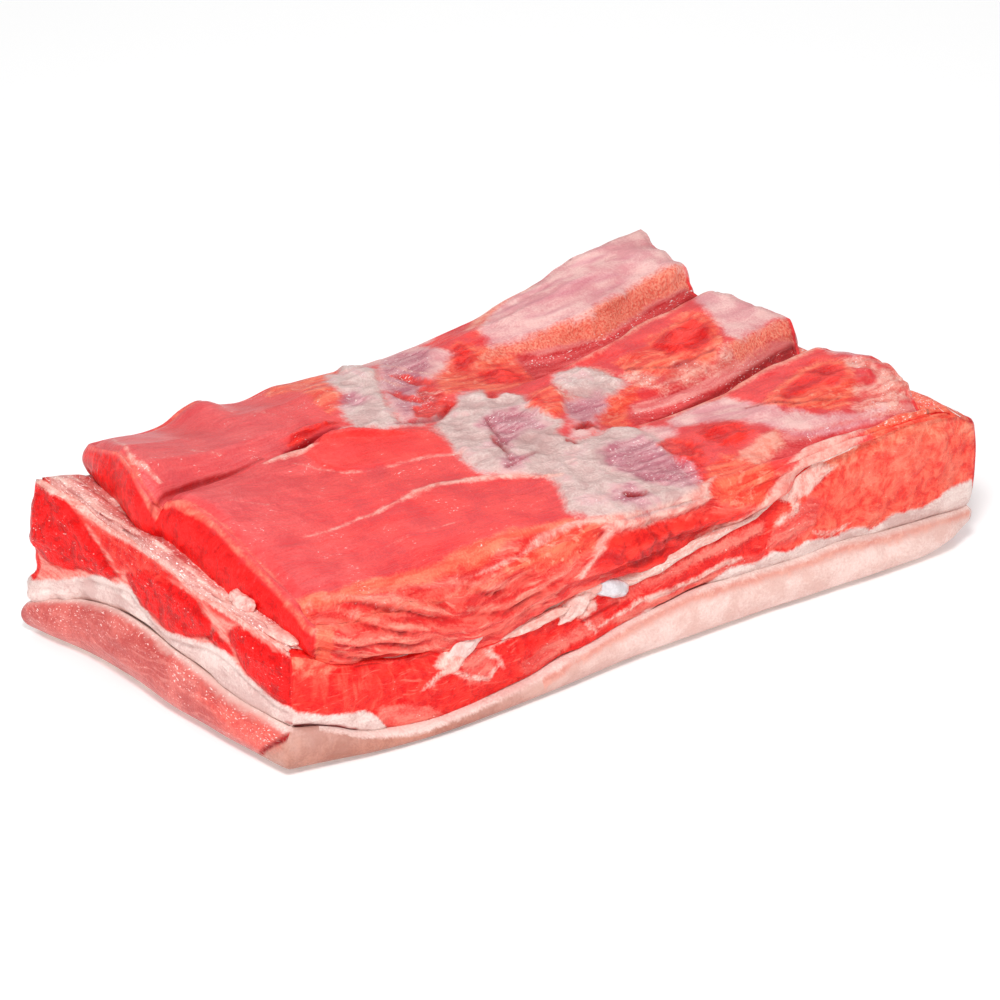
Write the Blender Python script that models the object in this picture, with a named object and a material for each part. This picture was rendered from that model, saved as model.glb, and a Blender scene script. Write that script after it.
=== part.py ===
"""Pork belly slab, skin side down: four layers of fat and lean that run through the whole piece.

Dimensions are in millimetres and become metres where a vertex is placed. +X runs along the slab from its stepped
left end to its ribbed right end, +Y runs from the long front face to the back, and +Z is up. The origin is under
the middle of the slab, on the surface that it rests on.
"""

import math

import bmesh
import bpy
import numpy as np
from mathutils import Vector

MM = 0.001

# Driving dimensions.
FAT_HEIGHT = 17.0  # thick outer fat, with the rind as its underside
LEAN_HEIGHT = 33.0  # top of the lower lean inside the slab
SEAM_HEIGHT = 2.4  # fat seam between the two leans
CONTACT_GAP = 0.4  # clearance that keeps neighbouring layers apart
RIND_ROLL = 1.5  # how far the rolled lower rim of the rind stands in from the side
RIND_HEIGHT = 2.0  # height of that rolled rim
FAT_BULGE = 2.0  # how far the soft outer fat bulges past the outline
LEAN_INSET = 0.6  # how far the lower lean stands in at its top and bottom
SEAM_INSET = 3.0  # how far the seam stands in between the leans
FLAP_EDGE = 1.4  # rounding of the upper lean's top edge
CORNER_ROUNDING = 0.012  # share of the half length that a plan corner loses
FRONT, BACK_LEFT, BACK_RIGHT = -66.0, 36.0, 72.0  # where the ends meet the long faces, across the slab

# Rib channels: where each rib lay, from its end near the middle to the right end of the slab. The far side of a
# channel is the cut wall of one ridge, and its near side is the steep back of the next.
RIB_CHANNELS = (
    {"start": (27.0, 10.0), "end": (103.0, 29.0), "depth": 10.0, "far_side": 12.0, "near_side": 7.0},
    {"start": (29.0, -25.0), "end": (103.0, -13.0), "depth": 9.0, "far_side": 10.0, "near_side": 6.5},
    {"start": (43.0, -62.0), "end": (107.0, -58.0), "depth": 5.0, "far_side": 7.0, "near_side": 5.0},
)
CHANNEL_RUN_IN = 30.0  # length over which a channel deepens from nothing

# The groove between the back flap and the main flap, and how far the flaps rise at their cut left ends.
FLAP_GROOVE = {"start": (-105.0, -8.0), "end": (-41.0, 6.0), "depth": 6.0, "half_width": 4.0}
FLAP_END = -105.0
FLAP_RISE_LENGTH = 34.0

# Number of cells along and across the slab, in the three lower layers and in the sculpted upper one.
LAYER_CELLS = (26, 16)
UPPER_CELLS = (40, 34)


def through(*points):
    """A smooth function of one variable through (position, value) points, level beyond them."""
    at, value = (np.array(column, float) for column in zip(*points))
    slope = np.gradient(value, at)

    def curve(x):
        x = min(max(x, at[0]), at[-1])
        i = min(int(np.searchsorted(at, x, side="right")) - 1, len(at) - 2)
        step = at[i + 1] - at[i]
        t = (x - at[i]) / step
        rise = t * t * (3 - 2 * t)
        bend = step * (slope[i] * t * (1 - t) ** 2 - slope[i + 1] * t * t * (1 - t))
        return float(value[i] + rise * (value[i + 1] - value[i]) + bend)

    return curve


# Plan outline: the ends by the distance across the slab, the long faces by the distance along it.
left_end = through((-66, -103), (-37, -107), (-9, -110), (16, -113), (36, -118))
right_end = through((-66, 116), (-24, 114), (16, 110), (46, 107), (72, 107))
front_face = through((-107, -64), (-82, -67.5), (-55, -69), (-25, -68), (13, -66), (63, -65.5), (111, -66.5))
back_face = through((-117, 36), (-82, 40), (-42, 45), (3, 50), (53, 59), (111, 69))

# The upper lean is cut back from the left end, and its right end steps in where each rib was.
flap_end = through((-66, -101), (-24, -101), (16, -103), (36, -104))
ridge_end = through(
    (-66, 113), (-56, 108), (-40, 107), (-22, 104), (-9, 99), (4, 105), (20, 101), (33, 96), (48, 102), (72, 102)
)

# Heights of the interfaces, along the front face and across the left end.
fat_at_front = through(
    (-103, 17), (-81, 13), (-55, 7.5), (-32, 8.5), (-5, 12.5), (10, 15), (36, 17.5), (68, 17.5), (115, 19)
)
fat_at_left = through((-64, 16), (-39, 17.5), (-16, 20), (4, 24), (20, 21), (36, 18))
lean_at_front = through((-101, 31), (-77, 26), (-47, 23), (3, 25), (33, 29), (63, 36), (88, 38), (113, 38))
lean_at_left = through((-64, 33), (-24, 37.5), (6, 39), (36, 45))

# Heights of the top, along the front edge, inside and along the back edge, and the rise of the flaps.
top_at_front = through(
    (-101, 42), (-77, 41), (-53, 39), (-23, 44), (3, 42.5), (33, 40.5), (63, 44.5), (93, 46), (111, 44)
)
top_inside = through((-101, 49), (-57, 47.5), (-17, 46), (23, 45.5), (63, 45.5), (111, 45))
top_at_back = through((-101, 47), (-59, 45), (-37, 43), (3, 41.5), (33, 41), (58, 45), (78, 48), (111, 48.5))
flap_rise = through((-66, 0), (-48, -1), (-24, 4), (-10, 3), (8, 11), (20, 8), (36, 0))


def smooth_step(x, low, high):
    t = min(max((x - low) / (high - low), 0.0), 1.0)
    return t * t * (3 - 2 * t)


def mix(a, b, share):
    return a + (b - a) * share


def footprint(u, v, inset, ends):
    """The plan point for u along and v across the slab, both from 0 to 1, standing in from the outline by inset."""
    left, right = ends
    a, b = 2 * u - 1, 2 * v - 1
    u = (a * (1 - CORNER_ROUNDING * b**10) + 1) / 2
    v = (b * (1 - CORNER_ROUNDING * a**10) + 1) / 2
    x = mix(left(mix(FRONT, BACK_LEFT, v)) + inset, right(mix(FRONT, BACK_RIGHT, v)) - inset, u)
    return x, mix(front_face(x) + inset, back_face(x) - inset, v)


def fat_top(x, y):
    """Top of the outer fat, which is thin along part of the front face and swells near the left end."""
    inside = mix(fat_at_front(x), FAT_HEIGHT, smooth_step(y, -70, -14))
    return mix(fat_at_left(y), inside, smooth_step(x, -121, -67))


def lean_top(x, y):
    """Top of the lower lean, which rises towards the top along the right of the front face."""
    inside = mix(lean_at_front(x), LEAN_HEIGHT, smooth_step(y, -70, -14))
    return mix(lean_at_left(y), inside, smooth_step(x, -117, -63))


def seam_top(x, y):
    return lean_top(x, y) + SEAM_HEIGHT


def channel_cut(x, y, rib):
    """How deep a rib channel is at a point."""
    (x0, y0), (x1, y1) = rib["start"], rib["end"]
    offset = y - mix(y0, y1, (x - x0) / (x1 - x0))
    reach = rib["far_side"] if offset > 0 else rib["near_side"]
    profile = 1 - smooth_step(abs(offset) / reach, 0.1, 1)
    return rib["depth"] * profile * smooth_step(x - x0, 0, CHANNEL_RUN_IN)


def groove_cut(x, y):
    """How deep the groove between the flaps is at a point; it runs out towards the middle of the slab."""
    (x0, y0), (x1, y1) = FLAP_GROOVE["start"], FLAP_GROOVE["end"]
    along = (x - x0) / (x1 - x0)
    offset = y - mix(y0, y1, along)
    fade = 1 - smooth_step(along, 0.3, 1.0)
    return FLAP_GROOVE["depth"] * fade * math.exp(-((offset / FLAP_GROOVE["half_width"]) ** 2))


def upper_top(x, y):
    """Top of the upper lean: two muscle flaps on the left, four ridges between the rib channels on the right."""
    front, back = front_face(x), back_face(x)
    across = (y - front) / (back - front)
    height = mix(top_at_front(x), top_inside(x), smooth_step(across, 0.0, 0.45))
    height = mix(height, top_at_back(x), smooth_step(across, 0.55, 1.0))
    height += flap_rise(y) * (1 - smooth_step(x, FLAP_END, FLAP_END + FLAP_RISE_LENGTH))
    return height - groove_cut(x, y) - max(channel_cut(x, y, rib) for rib in RIB_CHANNELS)


def between(lower, upper, share):
    """A surface between two others."""
    return lambda x, y: mix(lower(x, y), upper(x, y), share)


def below(surface):
    """A surface that stays clear of the layer above."""
    return lambda x, y: surface(x, y) - CONTACT_GAP


def ground(x, y):
    return 0.0


def rind_rim(x, y):
    return RIND_HEIGHT


def slab_layer(name, cells, levels, material, ends=(left_end, right_end)):
    """One layer as a closed body that rises through its levels, each an (inset, surface) pair."""
    mesh_edit = bmesh.new()
    bmesh.ops.create_grid(mesh_edit, x_segments=cells[0], y_segments=cells[1], size=0.5)
    bmesh.ops.translate(mesh_edit, verts=mesh_edit.verts, vec=(0.5, 0.5, 0))
    sheet = mesh_edit.faces[:]
    bmesh.ops.duplicate(mesh_edit, geom=sheet)  # stays behind as the underside
    for _ in levels[1:]:
        risen = bmesh.ops.extrude_face_region(mesh_edit, geom=sheet)["geom"]
        bmesh.ops.delete(mesh_edit, geom=sheet, context="FACES_ONLY")
        sheet = [part for part in risen if isinstance(part, bmesh.types.BMFace)]
        corners = [part for part in risen if isinstance(part, bmesh.types.BMVert)]
        bmesh.ops.translate(mesh_edit, verts=corners, vec=(0, 0, 1))
    bmesh.ops.remove_doubles(mesh_edit, verts=mesh_edit.verts, dist=1e-5)
    for vertex in mesh_edit.verts:
        inset, surface = levels[round(vertex.co.z)]
        x, y = footprint(vertex.co.x, vertex.co.y, inset, ends)
        vertex.co = Vector((x, y, surface(x, y))) * MM
    bmesh.ops.recalc_face_normals(mesh_edit, faces=mesh_edit.faces)
    mesh = bpy.data.meshes.new(name)
    mesh_edit.to_mesh(mesh)
    mesh_edit.free()
    mesh.shade_smooth()
    mesh.set_sharp_from_angle(angle=math.radians(50))
    mesh.materials.append(material)
    slab.objects.link(bpy.data.objects.new(name, mesh))


def meat_material(name, colour, roughness):
    material = bpy.data.materials.new(name)
    material.use_nodes = True
    shader = material.node_tree.nodes["Principled BSDF"]
    shader.inputs["Base Color"].default_value = (*colour, 1)
    shader.inputs["Roughness"].default_value = roughness
    shader.inputs["Metallic"].default_value = 0.0
    return material


def outer_fat_and_rind():
    levels = (
        (RIND_ROLL, ground),
        (0.0, rind_rim),
        (-FAT_BULGE, between(ground, fat_top, 0.55)),
        (0.0, below(fat_top)),
    )
    slab_layer("outer_fat_and_rind", LAYER_CELLS, levels, meat_material("outer_fat", (0.85, 0.66, 0.60), 0.45))


def lower_lean():
    levels = ((LEAN_INSET, fat_top), (0.0, between(fat_top, lean_top, 0.5)), (LEAN_INSET, below(lean_top)))
    slab_layer("lower_lean", LAYER_CELLS, levels, meat_material("lower_lean", (0.75, 0.09, 0.08), 0.35))


def fat_seam():
    levels = ((SEAM_INSET, lean_top), (SEAM_INSET, below(seam_top)))
    slab_layer("fat_seam", LAYER_CELLS, levels, meat_material("seam_fat", (0.86, 0.74, 0.70), 0.4))


def upper_lean():
    levels = (
        (LEAN_INSET, seam_top),
        (0.0, between(seam_top, upper_top, 0.6)),
        (FLAP_EDGE, upper_top),
    )
    material = meat_material("upper_lean", (0.78, 0.16, 0.15), 0.35)
    slab_layer("upper_lean", UPPER_CELLS, levels, material, ends=(flap_end, ridge_end))


for old in list(bpy.data.objects):
    bpy.data.objects.remove(old)
slab = bpy.data.collections.new("pork_belly_slab")
bpy.context.scene.collection.children.link(slab)
outer_fat_and_rind()
lower_lean()
fat_seam()
upper_lean()
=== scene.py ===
import math
from itertools import product
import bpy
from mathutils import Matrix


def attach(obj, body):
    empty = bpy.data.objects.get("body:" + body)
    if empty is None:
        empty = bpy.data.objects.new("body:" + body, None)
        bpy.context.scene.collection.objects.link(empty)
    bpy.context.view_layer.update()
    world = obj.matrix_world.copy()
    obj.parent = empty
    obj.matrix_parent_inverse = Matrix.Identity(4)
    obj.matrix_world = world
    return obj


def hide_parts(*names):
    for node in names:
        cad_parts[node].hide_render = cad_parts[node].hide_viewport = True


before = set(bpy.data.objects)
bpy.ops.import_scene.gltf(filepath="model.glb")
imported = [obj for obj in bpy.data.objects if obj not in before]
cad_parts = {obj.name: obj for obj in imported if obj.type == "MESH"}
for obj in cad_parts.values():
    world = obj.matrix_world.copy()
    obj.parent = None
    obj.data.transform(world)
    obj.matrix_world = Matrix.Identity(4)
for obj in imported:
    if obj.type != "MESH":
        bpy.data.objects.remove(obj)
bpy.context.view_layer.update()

from types import SimpleNamespace

import bmesh
import bpy
import numpy as np
from mathutils import Vector

# Sizes are in millimetres, in the frame of the model: x along the slab, y to the back, z up.
mm = 0.001
hair = 1e-4  # how near to a sheet's edge, from 0 to 1, a vertex counts as on it
off = -9  # a mask's depth where its paint isn't laid on


def smooth(x, low, high):
    t = np.clip((x - low) / (high - low), 0, 1)
    return t * t * (3 - 2 * t)


def mix(a, b, share):
    return a + (b - a) * share


def through(*points):  # smooth curve through (position, value) points, level beyond them
    at, value = np.array(points, float).T
    slope = np.gradient(value, at)

    def curve(x):
        x = np.clip(x, at[0], at[-1])
        i = np.clip(np.searchsorted(at, x, side="right") - 1, 0, len(at) - 2)
        step = at[i + 1] - at[i]
        t = (x - at[i]) / step
        bend = step * (slope[i] * t * (1 - t) ** 2 - slope[i + 1] * t * t * (1 - t))
        return mix(value[i], value[i + 1], t * t * (3 - 2 * t)) + bend

    return curve


def noise(place, size, seed=0, octaves=1):
    # lattice noise from -1 to 1, with cells of the given size: one number in mm, or one per axis
    total, weight = np.zeros(len(place)), 1.0
    for octave in range(octaves):
        q = place / (np.array(size, float) / 2 ** octave)
        cell = np.floor(q).astype(np.int64)
        f = q - cell
        f = f * f * (3 - 2 * f)
        for corner in product((0, 1), repeat=3):
            i, j, k = (cell + corner).T
            h = (i * 73856093 ^ j * 19349663 ^ k * 83492791 ^ (seed + octave) * 2654435761) & 0xffffffff
            h = ((h ^ (h >> 13)) * 1274126177) & 0xffffffff
            value = ((h ^ (h >> 16)) & 0xffff) / 32767.5 - 1
            share = np.where(corner, f, 1 - f).prod(1)
            total += weight * value * share
        weight *= 0.5
    return total


def strokeDepth(a, b, *strokes):
    # how far inside the strokes a point is, in mm; a stroke is a row of (a, b, radius)
    deepest = np.full(len(a), -99.0)
    for stroke in strokes:
        ends = list(zip(stroke, stroke[1:])) or [(stroke[0], stroke[0])]
        for (a0, b0, r0), (a1, b1, r1) in ends:
            da, db = a1 - a0, b1 - b0
            t = np.clip(((a - a0) * da + (b - b0) * db) / max(da * da + db * db, 1e-9), 0, 1)
            deepest = np.maximum(deepest, mix(r0, r1, t) - np.hypot(a - a0 - t * da, b - b0 - t * db))
    return deepest


def areaDepth(a, b, *outlines):  # how far inside the outlined areas a point is, negative outside
    deepest = np.full(len(a), -99.0)
    for corners in outlines:
        inside, nearest = np.zeros(len(a), bool), np.full(len(a), 99.0)
        for (a0, b0), (a1, b1) in zip(corners, corners[1:] + corners[:1]):
            if b0 != b1:
                inside ^= ((b0 > b) != (b1 > b)) & (a < (a1 - a0) * (b - b0) / (b1 - b0) + a0)
            nearest = np.minimum(nearest, -strokeDepth(a, b, [(a0, b0, 0), (a1, b1, 0)]))
        deepest = np.maximum(deepest, np.where(inside, nearest, -nearest))
    return deepest


def dome(depth, width):  # 0 outside, rising smoothly to 1 over the given width inside the edge
    return smooth(depth, 0, width)


def regionDepth(a, b, region):  # the same for a region's areas and lines together
    inAreas = areaDepth(a, b, *region.get("areas", []))
    return np.maximum(inAreas, strokeDepth(a, b, *region.get("lines", [])))


# the slab's outline, and the surfaces between its layers along each of its sides
outline = {
    "leftEnd": through((-66, -103), (-37, -107), (-9, -110), (16, -113), (36, -118)),
    "rightEnd": through((-66, 117), (-24, 114), (16, 110), (46, 107), (72, 107)),
    "front": through((-107, -64), (-82, -67.5), (-55, -69), (-25, -68),
                     (13, -66.2), (63, -66.3), (111, -66.8)),
    "back": through((-117, 36), (-82, 40), (-42, 45), (3, 50), (53, 59), (111, 69)),
    "cornerRounding": 0.012,
    "length": 222,
    "width": 120,
}

fatTop = {  # where the thick outer fat ends and the thin white layer under the lean begins
    "front": through(
        (-103, 12.5), (-96, 12), (-90, 10), (-84, 7.3), (-76, 5.6), (-66, 4.4),
        (-51, 4.8), (-34, 6.7), (-20, 9), (-8, 11.3), (3, 12.8), (22, 14.6),
        (40, 14), (55, 13.5), (70, 14.2), (85, 13), (101, 12.5), (115, 11.7),
    ),
    "left": through((-64, 13), (-53, 13.6), (-44, 14), (-35, 15.5),
                    (-19, 17.6), (0, 19.4), (19, 16.2), (38, 9.5)),
    "back": through((-117, 9.5), (-90, 14), (-50, 12), (0, 15), (50, 13), (111, 15)),
    "right": through((-66, 11.7), (-30, 14), (0, 13), (30, 15), (70, 15)),
}
leanBottom = {  # lower edge of the red lean
    "front": through(
        (-103, 18.1), (-93, 14.2), (-86, 12.9), (-79, 11.8), (-73, 5.6), (-66, 4.6),
        (-51, 5), (-34, 7), (-20, 9.2), (-8, 12.3), (0, 14.9), (6, 16.5), (14, 15.4),
        (25, 16.5), (31, 19.3), (41, 19.5), (45, 18.9), (51, 16.6), (59, 18.1), (67, 16.3),
        (74, 17.6), (81, 14.8), (87, 17.1), (99, 16.3), (106, 18.9), (116, 19.5),
    ),
    "left": through(
        (-66, 18), (-58, 19.2), (-51, 21), (-44, 24.2), (-34, 24.4), (-24, 22.5),
        (-14, 21.2), (-8, 23.9), (-3, 27), (6, 26), (14, 24.4), (24, 20), (34, 16),
    ),
    "back": through((-117, 17), (-95, 20), (-70, 17), (-45, 19),
                    (-10, 17), (20, 20), (55, 17), (85, 21), (111, 19)),
    "right": through((-66, 19.5), (-45, 17), (-20, 20), (5, 18), (35, 21), (72, 19)),
}
leanTop = {  # the seam between the two leans
    "front": through(
        (-102, 32.5), (-96, 31), (-89, 27.2), (-79, 25.6), (-71, 23.8), (-61, 23.4),
        (-52, 21.2), (-44, 20), (-35, 21.4), (-20, 23), (-9, 24), (3, 23.2),
        (13, 25.5), (31, 28.6), (44, 30.8), (50, 35.6), (61, 40.8), (75, 42.6),
        (86, 43.8), (97, 43.6), (104, 42.6), (109, 40), (114, 36.5), (117, 35.5),
    ),
    "left": through(
        (-66, 33), (-55, 35), (-45, 36), (-30, 36.6),
        (-14, 40), (0, 40.5), (10, 41), (20, 43.5), (34, 45),
    ),
    "back": through((-117, 44.5), (-111, 42), (-102, 40), (-90, 38),
                    (-40, 34), (20, 33), (70, 35), (111, 36)),
    "right": through((-66, 37), (-58, 36), (-30, 34), (20, 33), (70, 36)),
    "inside": 33.0,  # level away from the sides, reached over a stretch that is longer at the left end
    "length": 225,
    "stretch": {"left": 34, "right": 9},
}


def footprint(u, v, inset=0.0):
    a, b = 2 * u - 1, 2 * v - 1
    u = (a * (1 - outline["cornerRounding"] * b ** 10) + 1) / 2
    v = (b * (1 - outline["cornerRounding"] * a ** 10) + 1) / 2
    left = outline["leftEnd"](mix(-66, 36, v)) + inset
    right = outline["rightEnd"](mix(-66, 72, v)) - inset
    x = mix(left, right, u)
    return x, mix(outline["front"](x) + inset, outline["back"](x) - inset, v)


def borders(u, v):  # which vertices are on a sheet's ends, and which on its long sides
    return np.minimum(u, 1 - u) < hair, np.minimum(v, 1 - v) < hair


def fromBorders(u, v):  # roughly how many mm a vertex is from the nearer end and the nearer long side
    return np.minimum(u, 1 - u) * outline["length"], np.minimum(v, 1 - v) * outline["width"]


def drawIn(u, v, x, y, inset):  # moves a sheet's ends and sides inwards
    x = x + inset * ((u < hair) * 1.0 - (u > 1 - hair))
    y = y + inset * ((v < hair) * 1.0 - (v > 1 - hair))
    return x, y


def sideHeight(surface, x, y, u, v):
    # height of a surface at the slab's sides, joined smoothly round its corners
    along, across = np.minimum(u, 1 - u), np.minimum(v, 1 - v)
    end = np.where(u < 0.5, surface["left"](y), surface["right"](y))
    face = np.where(v < 0.5, surface["front"](x), surface["back"](x))
    return mix(face, end, smooth(across - along, -0.03, 0.03))


def leanTopAt(x, y, u, v):
    # the whole seam surface: the heights at its sides, settling to a level inside
    depth = np.minimum(np.minimum(u, 1 - u) * leanTop["length"], fromBorders(u, v)[1])
    stretch = np.where(u < 0.2, leanTop["stretch"]["left"], leanTop["stretch"]["right"])
    return mix(sideHeight(leanTop, x, y, u, v), leanTop["inside"], smooth(depth, 0, stretch))


def pieceFrom(name, skin):  # a finished bmesh as an object in the scene
    mesh = bpy.data.meshes.new(name)
    skin.to_mesh(mesh)
    skin.free()
    mesh.shade_smooth()
    piece = bpy.data.objects.new(name, mesh)
    bpy.context.scene.collection.objects.link(piece)
    return piece


def placeVertices(skin, place):
    for vertex, corner in zip(skin.verts, place * mm):
        vertex.co = corner


def layerSkin(cellsAlong, cellsAcross, wallRings):
    # a level sheet, walls that drop ring by ring, and a hidden cap; z holds the ring's number for now
    skin = bmesh.new()
    bmesh.ops.create_grid(skin, x_segments=cellsAlong, y_segments=cellsAcross, size=0.5)
    bmesh.ops.translate(skin, verts=skin.verts, vec=(0.5, 0.5, 0))
    rim = [edge for edge in skin.edges if edge.is_boundary]
    for _ in range(wallRings + 1):
        dropped = bmesh.ops.extrude_edge_only(skin, edges=rim)["geom"]
        lower = [part for part in dropped if isinstance(part, bmesh.types.BMVert)]
        bmesh.ops.translate(skin, verts=lower, vec=(0, 0, 1))
        rim = [part for part in dropped if isinstance(part, bmesh.types.BMEdge) and part.is_boundary]
    bmesh.ops.contextual_create(skin, geom=rim)
    return skin


def shapedPiece(name, skin, shape, softening=0):
    # shape turns (u, v, ring) into millimetres; softening rounds what is sharp
    grid = np.array([vertex.co for vertex in skin.verts])
    grid[:, 2] = np.round(grid[:, 2])
    placeVertices(skin, np.stack(shape(*grid.T), 1))
    axes = {"use_axis_x": True, "use_axis_y": True, "use_axis_z": True}
    for _ in range(softening):
        bmesh.ops.smooth_vert(skin, verts=skin.verts, factor=0.5, **axes)
    bmesh.ops.recalc_face_normals(skin, faces=skin.faces)
    return pieceFrom(name, skin), grid


def corners(piece):
    place = np.empty(len(piece.data.vertices) * 3)
    piece.data.vertices.foreach_get("co", place)
    return place.reshape(-1, 3) / mm


def raisePiece(piece, height):  # moves each vertex along its normal by a height in mm
    normal = np.empty(len(height) * 3)
    piece.data.vertices.foreach_get("normal", normal)
    place = corners(piece) + normal.reshape(-1, 3) * height[:, None]
    piece.data.vertices.foreach_set("co", (place * mm).ravel())
    piece.data.update()


def paint(piece, name, values):
    field = piece.data.attributes.new(name, "FLOAT", "POINT")
    field.data.foreach_set("value", values.astype(np.float32))


def paintPiece(piece, grid, fields, relief, grainOf):
    raisePiece(piece, relief)
    for name, values in fields.items():
        paint(piece, name, values)
    # the grain is kept per face corner, so that it can turn sharply from one side to the next
    mesh = piece.data
    start = np.empty(len(mesh.polygons), np.int32)
    total = np.empty(len(mesh.polygons), np.int32)
    owner = np.empty(len(mesh.loops), np.int32)
    mesh.polygons.foreach_get("loop_start", start)
    mesh.polygons.foreach_get("loop_total", total)
    mesh.loops.foreach_get("vertex_index", owner)
    u, v, ring = grid[owner].T

    def wholeFace(test):
        return np.repeat(np.minimum.reduceat(test.astype(int), start) > 0, total)

    wall = np.repeat(np.maximum.reduceat(ring, start) > 0, total)
    sides = {
        "front": wall & wholeFace(v < hair),
        "back": wall & wholeFace(v > 1 - hair),
        "left": wall & wholeFace(u < hair),
        "right": wall & wholeFace(u > 1 - hair),
    }
    field = mesh.attributes.new("grain", "FLOAT_VECTOR", "CORNER")
    grain = grainOf(u, v, ring, corners(piece)[owner], sides)
    field.data.foreach_set("vector", grain.astype(np.float32).ravel())


def coat(name, dark, light, texture, **finish):
    # one coat of paint: the mask it fills, its two colours, and the texture that mixes them
    return {"name": name, "dark": dark, "light": light, "texture": texture, **finish}


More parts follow.
